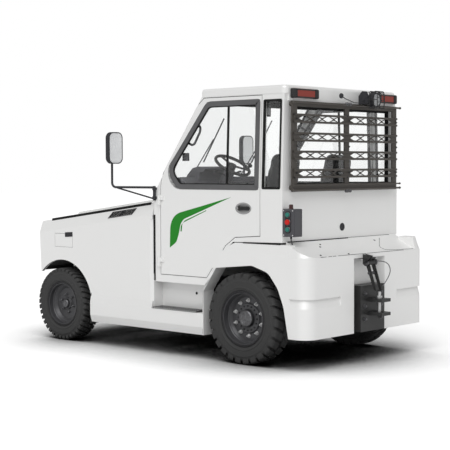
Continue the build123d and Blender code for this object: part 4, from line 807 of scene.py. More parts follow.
@dataclass(frozen=True)
class Metal(Finish):
    """Bare or plated steel with fine scratches."""

    metallic: float = 1.0
    tone: float = 0.22
    grime: Colour = (0.16, 0.14, 0.12)
    grime_amount: float = 0.35

    def dress(self, graph: Graph, shader: bpy.types.Node) -> Socket:
        """Set up the shader; see Finish."""
        grain = self.effect(graph, Effect.GRAIN, Scale=900.0, Patch=60.0)
        dust = self.effect(graph, Effect.DUST, Height=1.4, Scale=30.0, Amount=self.grime_amount)
        graph.fill(shader, {
            "Base Color": self.layered(
                graph, grain.outputs["Tone"], self.tone, (dust.outputs["Mask"], self.grime)),
            "Roughness": graph.spread(
                grain.outputs["Tone"], 0.25, 0.75, self.roughness * 0.75, self.roughness * 1.3)})
        self.bump(graph, shader, grain.outputs["Height"], 0.12, 0.0004)
        return shader.outputs["BSDF"]


@dataclass(frozen=True)
class Glazing(Finish):
    """Clear pane that lets lamps through to what is behind it."""

    smudge: float = 0.02

    def dress(self, graph: Graph, shader: bpy.types.Node) -> Socket:
        """Set up the shader; see Finish."""
        skin = self.effect(graph, Effect.SKIN, Scale=3.0, Patch=4.0)
        graph.fill(shader, {
            "Base Color": linear(self.colour), "IOR": 1.45, "Transmission Weight": 1.0,
            "Roughness": graph.spread(skin.outputs["Tone"], 0.45, 0.8, 0.0, self.smudge)})
        clear = graph.node("ShaderNodeBsdfTransparent", {"Color": linear(self.colour)})
        lamp = graph.node("ShaderNodeLightPath")
        return graph.node("ShaderNodeMixShader", {
            0: lamp.outputs["Is Shadow Ray"], 1: shader.outputs["BSDF"], 2: clear.outputs["BSDF"]}).outputs[0]


@dataclass(frozen=True)
class Lens(Finish):
    """Coloured lamp lens with fluting under a clear skin."""

    clear: float = 0.0
    flute_scale: float = 55.0

    def dress(self, graph: Graph, shader: bpy.types.Node) -> Socket:
        """Set up the shader; see Finish."""
        wave = graph.node(
            "ShaderNodeTexWave", {"Vector": graph.place(), "Scale": self.flute_scale}, bands_direction="Y",
            wave_profile="SIN")
        graph.fill(shader, {
            "Base Color": self.layered(graph, wave.outputs["Fac"], 0.45), "Roughness": self.roughness,
            "Transmission Weight": self.clear, "Coat Weight": 0.35, "Coat Roughness": 0.06})
        self.bump(graph, shader, wave.outputs["Fac"], 0.35, 0.002)
        return shader.outputs["BSDF"]


# The darker grey on the white body's edges is wear and painted shade along the panel edges.
BODY_WHITE = Paint(
    "body_white", (0.93, 0.925, 0.92), 0.32, edge_wear_and_light_colour=(0.74, 0.73, 0.71), edge_wear_and_light=0.35, dust_amount=0.1, coat=0.35,
    tone=0.015)
FRAME_BLACK = Paint("frame_black", (0.055, 0.055, 0.06), 0.45, edge_wear_and_light_colour=(0.3, 0.29, 0.28), dust_amount=0.1, tone=0.2)
LINER_BLACK = Moulded("liner_black", (0.1, 0.1, 0.1), 0.8, dust_amount=0.15)
PACK_GREY = Paint("pack_grey", (0.4, 0.41, 0.42), 0.5, tone=0.08)
TREAD_RUBBER = Moulded("tread_rubber", (0.17, 0.17, 0.17), 0.7, grain_scale=300.0)
TRIM_BLACK = Moulded("trim_black", (0.07, 0.07, 0.075), 0.5, dust_amount=0.06)
SEAL_RUBBER = Moulded("seal_rubber", (0.38, 0.38, 0.385), 0.55, dust_amount=0.05, tone=0.12, grain=0.1, edge_wear_and_light=0.0)
GAP_RUBBER = Moulded("gap_rubber", (0.07, 0.07, 0.07), 0.7, dust_amount=0.0, edge_wear_and_light=0.0)
LAMP_CLEAR = Lens("lamp_clear", (0.93, 0.94, 0.95), 0.06, clear=0.9)
LAMP_RED = Lens("lamp_red", (0.2, 0.07, 0.055), 0.3)
CAB_GREY = Moulded("cab_grey", (0.34, 0.34, 0.35), 0.7, grain_scale=400.0)
GLASS = Glazing("window_glass", (0.996, 0.999, 0.998))
GUARD_GREY = Paint(
    "guard_grey", (0.24, 0.237, 0.24), 0.42, edge_wear_and_light_colour=(0.42, 0.41, 0.41), edge_wear_and_light=0.2, dust_amount=0.03, tone=0.15)
CONTROL_GREY = Moulded("control_grey", (0.12, 0.12, 0.125), 0.6, dust_amount=0.05)
BRIGHT_STEEL = Metal("bright_steel", (0.78, 0.78, 0.78), 0.3)
HUB_STEEL = Metal("hub_steel", (0.5, 0.5, 0.51), 0.42)
DARK_STEEL = Metal("dark_steel", (0.2, 0.2, 0.21), 0.4, metallic=0.6)
SEAT_VINYL = Moulded("seat_vinyl", (0.15, 0.15, 0.155), 0.5, grain_scale=520.0, dust_amount=0.0)
DASH_GREY = Moulded("dash_grey", (0.14, 0.14, 0.145), 0.65, grain_scale=420.0, dust_amount=0.0)
PANEL_GREY = Moulded("panel_grey", (0.62, 0.62, 0.62), 0.6, grain_scale=420.0, dust_amount=0.0, tone=0.08)
WHEEL_PLASTIC = Moulded("wheel_plastic", (0.06, 0.06, 0.06), 0.45, dust_amount=0.0)
# The lighter edges of the tyre blocks are wear and painted highlights.
TYRE_RUBBER = Moulded(
    "tyre", (0.075, 0.075, 0.075), 0.72, grain_scale=260.0, grain=0.3, dust_amount=0.12, dust_height=0.9, edge_wear_and_light=0.5,
    edge_wear_and_light_colour=(0.27, 0.27, 0.27))
# The lighter edges of the rims are wear and painted highlights on the flange edges.
RIM_BLACK = Paint(
    "rim_grey", (0.06, 0.06, 0.062), 0.42, edge_wear_and_light_colour=(0.36, 0.36, 0.36), edge_wear_and_light=0.6, edge_wear_and_light_width=0.006, dust_amount=0.2,
    tone=0.2)
STRIPE_GREEN = Paint("stripe_green", (0.0, 0.5, 0.01), 0.6, edge_wear_and_light=0.0, dust_amount=0.03)
BUTTON_RED = Moulded("button_red", (0.86, 0.13, 0.1), 0.35, dust_amount=0.0, edge_wear_and_light=0.0)
BUTTON_GREEN = Moulded("button_green", (0.2, 0.52, 0.47), 0.35, dust_amount=0.0, edge_wear_and_light=0.0)
SPLASH_GREY = Moulded("splash_grey", (0.34, 0.325, 0.31), 0.75, dust_amount=0.3)
SEAT_PIPING = Moulded("seat_piping", (0.3, 0.3, 0.3), 0.5, dust_amount=0.0)
SCREEN_DARK = Moulded("screen_dark", (0.05, 0.06, 0.07), 0.15, dust_amount=0.0, edge_wear_and_light=0.0, grain=0.02)
LINING_DARK = Moulded("lining_dark", (0.2, 0.2, 0.2), 0.85, grain_scale=60.0, grain=0.6, tone=0.5, dust_amount=0.0)
# Near-white paint on the mirrors' faces: a painted reflection of the white surroundings, in place of a mirror.
MIRROR_PAINTED_REFLECTION = Paint(
    "mirror_painted_reflection", (0.97, 0.975, 0.98), 0.06, edge_wear_and_light=0.0, dust_amount=0.0, coat=1.0, tone=0.02, ripple=0.0)
LAMP_AMBER = Lens("lamp_amber", (0.85, 0.4, 0.05), 0.2)
LAMP_HOUSING = Moulded("lamp_housing", (0.2, 0.19, 0.19), 0.5, dust_amount=0.05)
LAMP_PALE = Lens("lamp_pale", (0.78, 0.79, 0.8), 0.12)
LAMP_BROWN = Lens("lamp_brown", (0.3, 0.14, 0.13), 0.25)

NODE_FINISHES: dict[str, Finish] = {
    "chassis_frame": FRAME_BLACK, "battery_pack": PACK_GREY, "side_sills": BODY_WHITE, "step_wells": BODY_WHITE,
    "step_treads": TREAD_RUBBER, "front_fenders": BODY_WHITE, "wheel_liners": LINER_BLACK,
    "front_fascia": BODY_WHITE, "front_grille": TRIM_BLACK, "headlamps": LAMP_CLEAR, "cowl_panel": BODY_WHITE,
    "bonnet": BODY_WHITE, "front_bumper": FRAME_BLACK, "cab_floor": CAB_GREY, "cab_sides": BODY_WHITE,
    "door_left": BODY_WHITE, "door_right": BODY_WHITE, "door_glass_left": GLASS, "door_glass_right": GLASS,
    "cab_rear_wall": BODY_WHITE, "cab_roof": BODY_WHITE, "cab_windows": GLASS, "rear_guard": GUARD_GREY,
    "guard_lattice": GUARD_GREY,
    "tail_lamps": LAMP_RED, "work_lamp": TRIM_BLACK, "control_box": CONTROL_GREY, "rear_fenders": BODY_WHITE,
    "counterweight": BODY_WHITE, "rear_deck": BODY_WHITE, "hitch_bracket": FRAME_BLACK, "hitch_pin": BRIGHT_STEEL,
    "seat_bases": CAB_GREY, "dashboard": DASH_GREY, "steering_column": WHEEL_PLASTIC,
    "steering_wheel": WHEEL_PLASTIC, "mirrors": TRIM_BLACK, "front_axle_beam": FRAME_BLACK,
    "leaf_springs": FRAME_BLACK, "knuckle_left": FRAME_BLACK, "knuckle_right": FRAME_BLACK,
    "tie_rod": FRAME_BLACK, "rear_axle": FRAME_BLACK,
}


def dress_nodes() -> None:
    """Give each node of the frame its finish."""
    for name, finish in NODE_FINISHES.items():
        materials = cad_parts[name].data.materials
        for index in range(len(materials)):
            materials[index] = finish.material()
        if not materials:
            materials.append(finish.material())
    log.info("dressed %d nodes", len(NODE_FINISHES))


# ---- studio ----


@dataclass
class Studio:
    """Pale floor, soft lamps and the camera."""

    floor_size: float = 120.0
    # Tone of the painted shadow under the object, and of the open floor.
    painted_shadow_tones: Flat = (0.004, 0.97)
    floor_lift: float = 0.25
    shade_reach: float = 1.3
    sky: float = 0.46
    key_strength: float = 1.75
    key_towards: Point = (-0.35, 0.55, 0.76)
    key_softness: float = 50.0
    camera_place: Point = (-8.32552, 9.20965, 1.79550)
    yaw: float = 47.7999
    pitch: float = 2.70933
    roll: float = -0.17143
    focal_px: float = 1227.21
    picture_px: float = 450.0
    sensor: float = 36.0

    def seen_white(self, graph: Graph) -> Socket:
        """1 for rays that come from the camera, straight or through glass."""
        path = graph.node("ShaderNodeLightPath")
        return graph.math("MAXIMUM", path.outputs["Is Camera Ray"], path.outputs["Is Transmission Ray"])

    def build_world(self) -> None:
        """White behind the object, soft grey light on it."""
        world = bpy.data.worlds.new("studio")
        bpy.context.scene.world = world
        graph = Graph.of(world)
        strength = graph.spread(self.seen_white(graph), 0.0, 1.0, self.sky, 1.0)
        sky = graph.node("ShaderNodeBackground", {"Color": (1.0, 1.0, 1.0, 1.0), "Strength": strength})
        graph.node("ShaderNodeOutputWorld", {"Surface": sky.outputs[0]})

    def build_floor(self) -> None:
        """White floor that keeps the object's shadow, and a painted contact shadow: ambient occlusion darkens its
        colour and its camera glow near the object.
        """
        material = bpy.data.materials.new("studio_floor")
        graph = Graph.of(material)
        # Painted shadow: the floor's colour and camera glow fall from the open-floor tone to the shadow tone where
        # ambient occlusion finds the object nearby.
        near = graph.node("ShaderNodeAmbientOcclusion", {"Distance": self.shade_reach}, samples=8)
        outside_painted_shadow = graph.spread(near.outputs["AO"], 0.3, 0.97)
        dark, pale = ((tone, tone, tone, 1.0) for tone in self.painted_shadow_tones)
        matt = graph.node("ShaderNodeBsdfDiffuse", {"Color": graph.blend(outside_painted_shadow, dark, pale)})
        lift = graph.node("ShaderNodeEmission", {
            "Strength": graph.product(self.seen_white(graph), self.floor_lift, outside_painted_shadow)})
        both = graph.node("ShaderNodeAddShader", {0: matt.outputs[0], 1: lift.outputs[0]})
        graph.node("ShaderNodeOutputMaterial", {"Surface": both.outputs[0]})
        half = self.floor_size / 2
        data = bpy.data.meshes.new("studio_floor")
        data.from_pydata([(-half, -half, 0), (half, -half, 0), (half, half, 0), (-half, half, 0)], [], [(0, 1, 2, 3)])
        data.materials.append(material)
        linked("studio_floor", data)

    def build_lamp(self) -> None:
        """One wide soft lamp from above and to the left rear."""
        lamp = bpy.data.lights.new("key_lamp", "SUN")
        lamp.energy, lamp.angle = self.key_strength, math.radians(self.key_softness)
        key = linked("key_lamp", lamp)
        key.rotation_mode = "QUATERNION"
        key.rotation_quaternion = Vector(self.key_towards).to_track_quat("Z", "Y")

    def build_camera(self) -> None:
        """Camera at the photograph's place and angle."""
        yaw, pitch, roll = (math.radians(a) for a in (self.yaw, self.pitch, self.roll))
        ahead = Vector((math.cos(yaw) * math.cos(pitch), -math.sin(yaw) * math.cos(pitch), -math.sin(pitch)))
        level = Vector((-math.sin(yaw), -math.cos(yaw), 0.0))
        upright = level.cross(ahead)
        right = level * math.cos(roll) + upright * math.sin(roll)
        up = upright * math.cos(roll) - level * math.sin(roll)
        data = bpy.data.cameras.new("studio_camera")
        data.sensor_fit, data.sensor_width = "HORIZONTAL", self.sensor
        data.lens = self.focal_px / self.picture_px * self.sensor
        data.clip_start, data.clip_end = 0.1, 500.0
        camera = linked("studio_camera", data)
        camera.matrix_world = Matrix((
            (right.x, up.x, -ahead.x, self.camera_place[0]),
            (right.y, up.y, -ahead.y, self.camera_place[1]),
            (right.z, up.z, -ahead.z, self.camera_place[2]),
            (0, 0, 0, 1),
        ))
        bpy.context.scene.camera = camera

    def build(self) -> None:
        """Build the whole studio."""
        bpy.context.scene.view_settings.view_transform = "Standard"
        self.build_camera()
        self.build_world()
        self.build_floor()
        self.build_lamp()
        log.info("studio built")


# ---- wheels ----


@dataclass
class TreadPattern:
    """Blocks of a tyre's tread on each side of its middle."""

    count: int
    fill: float
    depth: float
    wrap: float
    slant: float
    inner_gap: float


@dataclass
class Wheel:
    """A tyre on a bolted steel rim."""

    name: str
    body: Body
    side: float
    axle: Point
    radius: float
    width: float
    rim_r: float
    tread: TreadPattern
    barrel_r: float
    disc_r: float
    disc_out: float
    hub_r: float
    cap_r: float
    cap_out: float
    studs: int
    stud_circle: float
    stud_r: float
    small_bolts: int = 0
    small_circle: float = 0.0
    steps: int = 96

    def out(self) -> Point:
        """Direction out of the wheel's visible face."""
        return 0.0, self.side, 0.0

    def node(self, part: str) -> str:
        """Name of the frame's node for a part of this wheel."""
        place, hand = self.name.split("_")
        return f"{place}_{part}_{hand}"

    def at(self, radius: float, angle: float, out: float) -> Point:
        """Point at a radius, an angle and a distance out of the wheel's middle."""
        x, y, z = self.axle
        return x + radius * math.cos(angle), y + self.side * out, z + radius * math.sin(angle)

    def carcass(self) -> list[Flat]:
        """Half section of the tyre under its tread blocks.

        Returns:
            Radius and distance out, from the outer bead over the tread to the inner bead.
        """
        half, bead, top = self.width / 2, self.rim_r, self.radius - self.tread.depth
        wall = top - bead
        side = [
            (bead, half - 34), (bead + 3, half - 22), (bead + 9, half - 18), (bead + 12, half - 12),
            (bead + wall * 0.20, half - 6), (bead + wall * 0.24, half - 2.5), (bead + wall * 0.27, half - 2.5),
            (bead + wall * 0.30, half - 5.5), (bead + wall * 0.45, half - 2.5), (bead + wall * 0.55, half - 1.2),
            (bead + wall * 0.60, half - 1.5), (bead + wall * 0.62, half + 0.0), (bead + wall * 0.66, half + 0.0),
            (bead + wall * 0.68, half - 3.0), (bead + wall * 0.80, half - 7.0), (bead + wall * 0.92, half - 15.0),
            (top - 1.5, half - 30.0),
        ]
        return [*side, (top, 0.0), *((r, -y) for r, y in reversed(side)), side[0]]

    def block_section(self, inner: float) -> list[Flat]:
        """Section of a tread block: radius and distance out, round the shoulder.

        Args:
            inner: how near the block comes to the middle of the tread.

        Returns:
            The section's points.
        """
        half, r, deep = self.width / 2, self.radius, self.tread.depth
        return [
            (r - self.tread.wrap, half - 7.0), (r - self.tread.wrap * 0.5, half - 1.0), (r - deep * 0.62, half - 4.5),
            (r - deep * 0.2, half - 15.0), (r - 1.2, half - 27.0), (r, half - 52.0), (r, inner),
            (r - deep - 5, inner), (r - deep - 7, half - 45.0), (r - self.tread.wrap * 0.8, half - 22.0),
        ]

    def build_tyre(self) -> None:
        """Tyre with ribbed walls and tread blocks that wrap the shoulders."""
        maker = Maker()
        maker.lathe(self.carcass(), self.axle, self.out(), self.steps)
        pitch = 2 * math.pi / self.tread.count
        half = self.width / 2
        for hand in (1, -1):
            for index in range(self.tread.count):
                long = (index % 2) * 0.5
                inner = self.tread.inner_gap + long * half * 0.18
                section = self.block_section(inner)
                start = (index + (0.5 if hand < 0 else 0.0)) * pitch
                rings = []
                for share in (-0.5, -0.17, 0.17, 0.5):
                    ring = []
                    for radius, out in section:
                        towards = max(0.0, 1 - out / half)
                        angle = start + (share * self.tread.fill + self.tread.slant * towards * hand) * pitch
                        ring.append(self.at(radius, angle, out * hand))
                    rings.append(ring)
                maker.loft(rings)
        maker.publish(
            f"{self.name}_tyre_tread", "tyre", TYRE_RUBBER, self.body, bevel=2.2, segments=1, smooth=30,
            replaces=[self.node("tyre")])

    def build_rim(self) -> None:
        """Steel rim: flange, lock ring, barrel, dished disc, nuts and hub cap."""
        half, edge = self.width / 2, self.rim_r
        disc = self.disc_out
        maker = Maker()
        maker.lathe([
            (edge - 1, -half + 20), (edge - 1, half - 30), (edge + 9, half - 20), (edge + 9, half - 14),
            (edge + 3, half - 11), (edge - 6, half - 13), (edge - 9, half - 20), (edge - 12, half - 17),
            (edge - 18, half - 19), (edge - 20, half - 34), (self.barrel_r, half - 40), (self.barrel_r - 3, disc + 34),
            (self.barrel_r - 10, disc + 26), (self.barrel_r - 16, disc + 26), (self.disc_r + 4, disc + 6),
            (self.disc_r, disc), (self.hub_r + 6, disc - 2), (self.hub_r + 1, disc + 4), (self.hub_r, disc + 10),
            (self.hub_r - 4, disc + 14), (self.cap_r + 4, disc + 16), (self.cap_r, disc + 14),
            (self.cap_r - 2, disc - 20), (self.hub_r, disc - 30), (self.barrel_r - 8, disc - 14),
            (edge - 20, -half + 30), (edge - 6, -half + 14), (edge + 8, -half + 12), (edge + 9, -half + 20),
            (edge - 1, -half + 20),
        ], self.axle, self.out(), self.steps)
        maker.publish(
            f"{self.name}_rim_steel", "rim_grey", RIM_BLACK, self.body, smooth=28, replaces=[self.node("rim")])
        bright = Maker()
        bright.lathe([
            (edge - 9.5, half - 20), (edge - 5.5, half - 12.4), (edge + 3.5, half - 10.2), (edge + 9.8, half - 13.6),
            (edge + 9.8, half - 19), (edge + 6, half - 19), (edge - 9.5, half - 20),
        ], self.axle, self.out(), self.steps)
        bright.publish(f"{self.name}_lock_ring", "rim_grey", DARK_STEEL, self.body, smooth=40)
        nuts = Maker()
        nuts.bolt(self.at(self.stud_circle, 0.3, disc - 1), self.out(), self.stud_r, self.stud_r * 1.3)
        nuts.lathe([
            (self.stud_r * 0.5, 0.0), (self.stud_r * 0.5, self.stud_r * 1.9), (self.stud_r * 0.38, self.stud_r * 2.1),
        ], self.at(self.stud_circle, 0.3, disc), self.out(), 14)
        nuts.repeat(self.studs, self.axle, LEFTWARDS)
        nuts.publish(
            f"{self.name}_wheel_nuts", "bright_steel", HUB_STEEL if self.studs < 8 else BRIGHT_STEEL, self.body,
            bevel=0.8, smooth=30)
        cap = Maker()
        tip = self.cap_out
        cap.lathe([
            (self.cap_r, disc - 10), (self.cap_r, tip - 16), (self.cap_r - 2, tip - 9), (self.cap_r - 8, tip - 3),
            (self.cap_r - 14, tip), (self.cap_r * 0.62, tip), (self.cap_r * 0.6, tip - 2), (self.cap_r * 0.42, tip - 2),
            (self.cap_r * 0.4, tip), (0.0, tip + 1),
        ], self.axle, self.out(), 48)
        cap.publish(f"{self.name}_hub_cap", "rim_grey", HUB_STEEL, self.body, smooth=30)
        if self.small_bolts:
            ring = Maker()
            ring.bolt(self.at(self.small_circle, 0.0, disc + 10), self.out(), 8.5, 12.0)
            ring.repeat(self.small_bolts, self.axle, LEFTWARDS)
            ring.publish(f"{self.name}_hub_bolts", "rim_grey", DARK_STEEL, self.body, bevel=0.6, smooth=30)

    def build(self) -> None:
        """Build the tyre and the rim."""
        self.build_tyre()
        self.build_rim()


def build_wheels() -> None:
    """Build the four wheels."""
    chunky = TreadPattern(count=26, fill=0.72, depth=24.0, wrap=62.0, slant=0.55, inner_gap=6.0)
    fine = TreadPattern(count=38, fill=0.66, depth=18.0, wrap=44.0, slant=0.7, inner_gap=5.0)
    for side, front, rear in ((1.0, Body.FRONT_LEFT, Body.REAR_LEFT), (-1.0, Body.FRONT_RIGHT, Body.REAR_RIGHT)):
        hand = "left" if side > 0 else "right"
        Wheel(
            f"front_{hand}", front, side, (FRONT_AXLE[0], side * 812.5, FRONT_AXLE[1]), FRONT_AXLE[1], 215.0, 226.0,
            fine, barrel_r=205.0, disc_r=160.0, disc_out=16.0, hub_r=62.0, cap_r=46.0, cap_out=60.0, studs=6,
            stud_circle=93.0, stud_r=14.0,
        ).build()
        Wheel(
            f"rear_{hand}", rear, side, (REAR_AXLE[0], side * 796.5, REAR_AXLE[1]), REAR_AXLE[1], 235.0, 250.0,
            chunky, barrel_r=228.0, disc_r=192.0, disc_out=14.0, hub_r=136.0, cap_r=80.0, cap_out=72.0, studs=10,
            stud_circle=163.0, stud_r=15.0, small_bolts=16, small_circle=112.0,
        ).build()


# ---- windows and doors ----

WINDOW_TOP_Z = 2397.0
CAB_REAR_X = -1457.0
DOOR_WINDOW = rounded([
    (-176.0, BELT_Z, 90.0), (-1176.0, BELT_Z, 26.0), (-1176.0, WINDOW_TOP_Z, 26.0), (-528.0, WINDOW_TOP_Z, 110.0),
    (-22.0, 1760.0, 130.0),
], 7)
DOOR_EDGE: list[Flat] = [
    (56, 768), (-542, 768), (-779, 1076), (-898, 1157), (-1195, 1178), (-1195, 2432), (-490, 2432), (-408, 2366),
    (-8, 1790), (26, 1738), (40, 1690), (51, 1640), (56, 1590),
]
QUARTER_WINDOW = panel((-1222.0, -1428.0), (1600.0, 2390.0), 12.0, 4)
REAR_WINDOW = panel((-730.0, 730.0), (1620.0, 2340.0), 20.0, 4)
STRIPES: tuple[tuple[Sequence[Corner], Sequence[Corner]], ...] = (
    (((-64, 1026, 0), (-72, 1275, 180), (-155, 1355, 200), (-540, 1445, 0), (-853, 1520, 0)),
     ((-64, 1026, 0), (-153, 1083, 60), (-187, 1172, 0), (-208, 1259, 90), (-249, 1304, 90), (-540, 1407, 0),
      (-853, 1520, 0))),
    (((-206, 1187, 0), (-214, 1247, 40), (-256, 1276, 50), (-541, 1387, 0)),
     ((-222, 1187, 0), (-231, 1257, 40), (-265, 1292, 50), (-542, 1394, 0))),
)


def on_both_doors(build: Callable[[], Maker], name: str, slot: str, finish: Finish, **more: float) -> None:
    """Publish a piece of trim on each door.

    Args:
        build: makes the left door's piece.
        name: the piece's name, to which the side is added.
        slot: the record's material slot.
        finish: the finish.
        more: further values for publishing.
    """
    build().publish(f"{name}_left", slot, finish, Body.DOOR_LEFT, **more)
    build().mirrored(keep=False).publish(f"{name}_right", slot, finish, Body.DOOR_RIGHT, **more)


@dataclass
class Glazed:
    """Rubber frames round the panes, and the sash bar of each door."""

    frame_width: float = 44.0
    channel_width: float = 9.0
    lip: float = 3.0
    depth: float = 14.0
    sash: Flat = (-793.0, -771.0)
    sash_depth: Flat = (-29.0, -15.0)

    def door_frame(self) -> Maker:
        """Frame of the left door's window."""
        outer, inner = inset(DOOR_WINDOW, -5.0), inset(DOOR_WINDOW, self.frame_width)
        return Maker().ring(outer, inner, cab_side, -self.depth, self.lip)

    def door_channel(self) -> Maker:
        """Channel inside the left door's frame, with the sash bar."""
        outer = inset(DOOR_WINDOW, self.frame_width)
        inner = inset(DOOR_WINDOW, self.frame_width + self.channel_width)
        (low, high), (deep, shallow) = self.sash, self.sash_depth
        bar = ((low, deep), (high, deep), (high, shallow), (low, shallow))
        ends = (BELT_Z + self.frame_width, WINDOW_TOP_Z - self.frame_width)
        channel = Maker().ring(outer, inner, cab_side, -self.depth - 2, -3.0)
        return channel.loft([[cab_side(x, z, out) for x, out in bar] for z in ends])

    def build(self) -> None:
        """Build the frames of the doors, the quarter windows and the rear window."""
        on_both_doors(self.door_frame, "door_window_frame", "trim_black", SEAL_RUBBER, bevel=2.5)
        on_both_doors(self.door_channel, "door_window_channel", "trim_black", GAP_RUBBER, bevel=1.0, segments=1)
        quarter = Maker().ring(
            inset(QUARTER_WINDOW, -4.0), inset(QUARTER_WINDOW, 16.0), cab_side, -self.depth, self.lip)
        quarter.mirrored().publish("quarter_window_seals", "trim_black", GAP_RUBBER, bevel=2.0)
        rear = Maker().ring(
            inset(REAR_WINDOW, -4.0), inset(REAR_WINDOW, 30.0), facing("x", CAB_REAR_X, -1.0), -17.0, self.lip)
        rear.publish("rear_window_seal", "trim_black", GAP_RUBBER, bevel=2.0)


@dataclass
class DoorTrim:
    """Stripes, handle and edge seal of the doors."""

    handle: Flat = (-1000.0, 1420.0)
    stripe_lift: float = 0.9
    stripe_points: int = 48
    side: Place = facing("y", DOOR_Y)

    def stripes(self) -> Maker:
        """Broad bent stripe and the thin one under it."""
        maker = Maker()
        for edges in STRIPES:
            first, second = (
                evenly([(p.x, p.y) for p in bent([((u, v, 0.0), r) for u, v, r in edge])], self.stripe_points)
                for edge in edges)
            maker.loft([
                [self.side(*one, -0.3), self.side(*one, self.stripe_lift),
                 self.side(*two, self.stripe_lift), self.side(*two, -0.3)]
                for one, two in zip(first, second)])
        return maker.weld()

    def oval(self, width: float, height: float) -> list[Flat]:
        """Ellipse round the handle, by its half width and half height."""
        x, z = self.handle
        return [(x + width * math.cos(a), z + height * math.sin(a)) for a in turns(48)]

    def cup(self) -> Maker:
        """Bezel and liner of the handle's cup."""
        maker = Maker().ring(self.oval(95, 53), self.oval(82, 40), self.side, -2.0, 3.2)
        maker.ring(self.oval(87.6, 45.6), self.oval(78, 36), self.side, -13.8, -1.0)
        return maker.plate(self.oval(86, 44), self.side, -13.9, -13.0)

    def paddle(self) -> Maker:
        """Pull handle with a turned-up edge and a pressed middle."""
        x, z = self.handle
        return Maker().loft([
            [self.side(u, v, out)
             for u, v in panel((x - 70 + step, x + 66 - step), (z - 18 + step, z + 18 - step), 7, 4)]
            for step, out in ((0, -12.0), (0, -3.0), (3, -0.5), (9, -0.5), (12, -3.5))])

    def lock(self) -> Maker:
        """Key barrel beside the paddle."""
        x, z = self.handle
        return Maker().lathe([
            (9, -13), (9, -2), (8, -0.6), (5, -0.6), (4.6, -2), (0, -2)], (x + 76, DOOR_Y, z), LEFTWARDS, 28)

    def edge(self) -> Maker:
        """Rubber in the gap round the door."""
        return Maker().ring(inset(DOOR_EDGE, -3.6), inset(DOOR_EDGE, 0.6), cab_side, -36.0, -3.0)

    def build(self) -> None:
        """Build the trim of both doors."""
        on_both_doors(self.stripes, "door_stripes", "body_white", STRIPE_GREEN, smooth=30)
        on_both_doors(self.cup, "door_handle_cup", "trim_black", PANEL_GREY, bevel=1.0)
        on_both_doors(self.paddle, "door_handle_paddle", "trim_black", WHEEL_PLASTIC, bevel=1.2, smooth=50)
        on_both_doors(self.lock, "door_lock", "bright_steel", BRIGHT_STEEL)
        on_both_doors(self.edge, "door_edge_seal", "trim_black", GAP_RUBBER)


# ---- trim laid on the panels ----


class Skin:
    """Outer surface of CAD nodes, on which trim is laid."""

    def __init__(self, *names: str) -> None:
        """Read the meshes of some nodes.

        Args:
            names: the frame's nodes.
        """
        points: list[Vector] = []
        faces: list[tuple[int, ...]] = []
        for name in names:
            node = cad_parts[name]
            base = len(points)
            points += [node.matrix_world @ vert.co / MM for vert in node.data.vertices]
            faces += [tuple(base + i for i in face.vertices) for face in node.data.polygons]
        self.tree = BVHTree.FromPolygons(points, faces)

    def cast(self, start: Point, towards: Point, out: float) -> Point:
        """Point where a ray meets the surface.

        Args:
            start: where the ray begins.
            towards: the ray's direction.
            out: distance off the surface, along its normal.

        Returns:
            The point, or the start where nothing is met.
        """
        ray = Vector(towards)
        hit, normal, _, _ = self.tree.ray_cast(Vector(start), ray)
        if hit is None:
            return start
        return tuple(hit - normal * out if normal.dot(ray) > 0 else hit + normal * out)

    def side(self, x: float, z: float, out: float = 0.0) -> Point:
        """Point on the left side."""
        return self.cast((x, 1200.0, z), (0, -1, 0), out)

    def rear(self, y: float, z: float, out: float = 0.0) -> Point:
        """Point on the rear."""
        return self.cast((-2600.0, y, z), FORWARDS, out)

    def top(self, x: float, y: float, out: float = 0.0) -> Point:
        """Point on the top."""
        return self.cast((x, y, 3000.0), DOWNWARDS, out)


def fender_crease(x: float) -> float:
    """Height of the front fender's crease at a place along the tractor."""
    (start, height), (length, drop) = (158.0, 1336.0), (1702.0, 224.0)
    return height - (x - start) * drop / length


def front_arch(radius: float, low: float, high: float, count: int) -> list[Flat]:
    """Arc round the front axle, seen from the side, between two angles in degrees."""
    x, z = FRONT_AXLE
    return [
        (x + radius * math.cos(a), z + radius * math.sin(a)) for a in map(math.radians, spaced(low, high, count))]


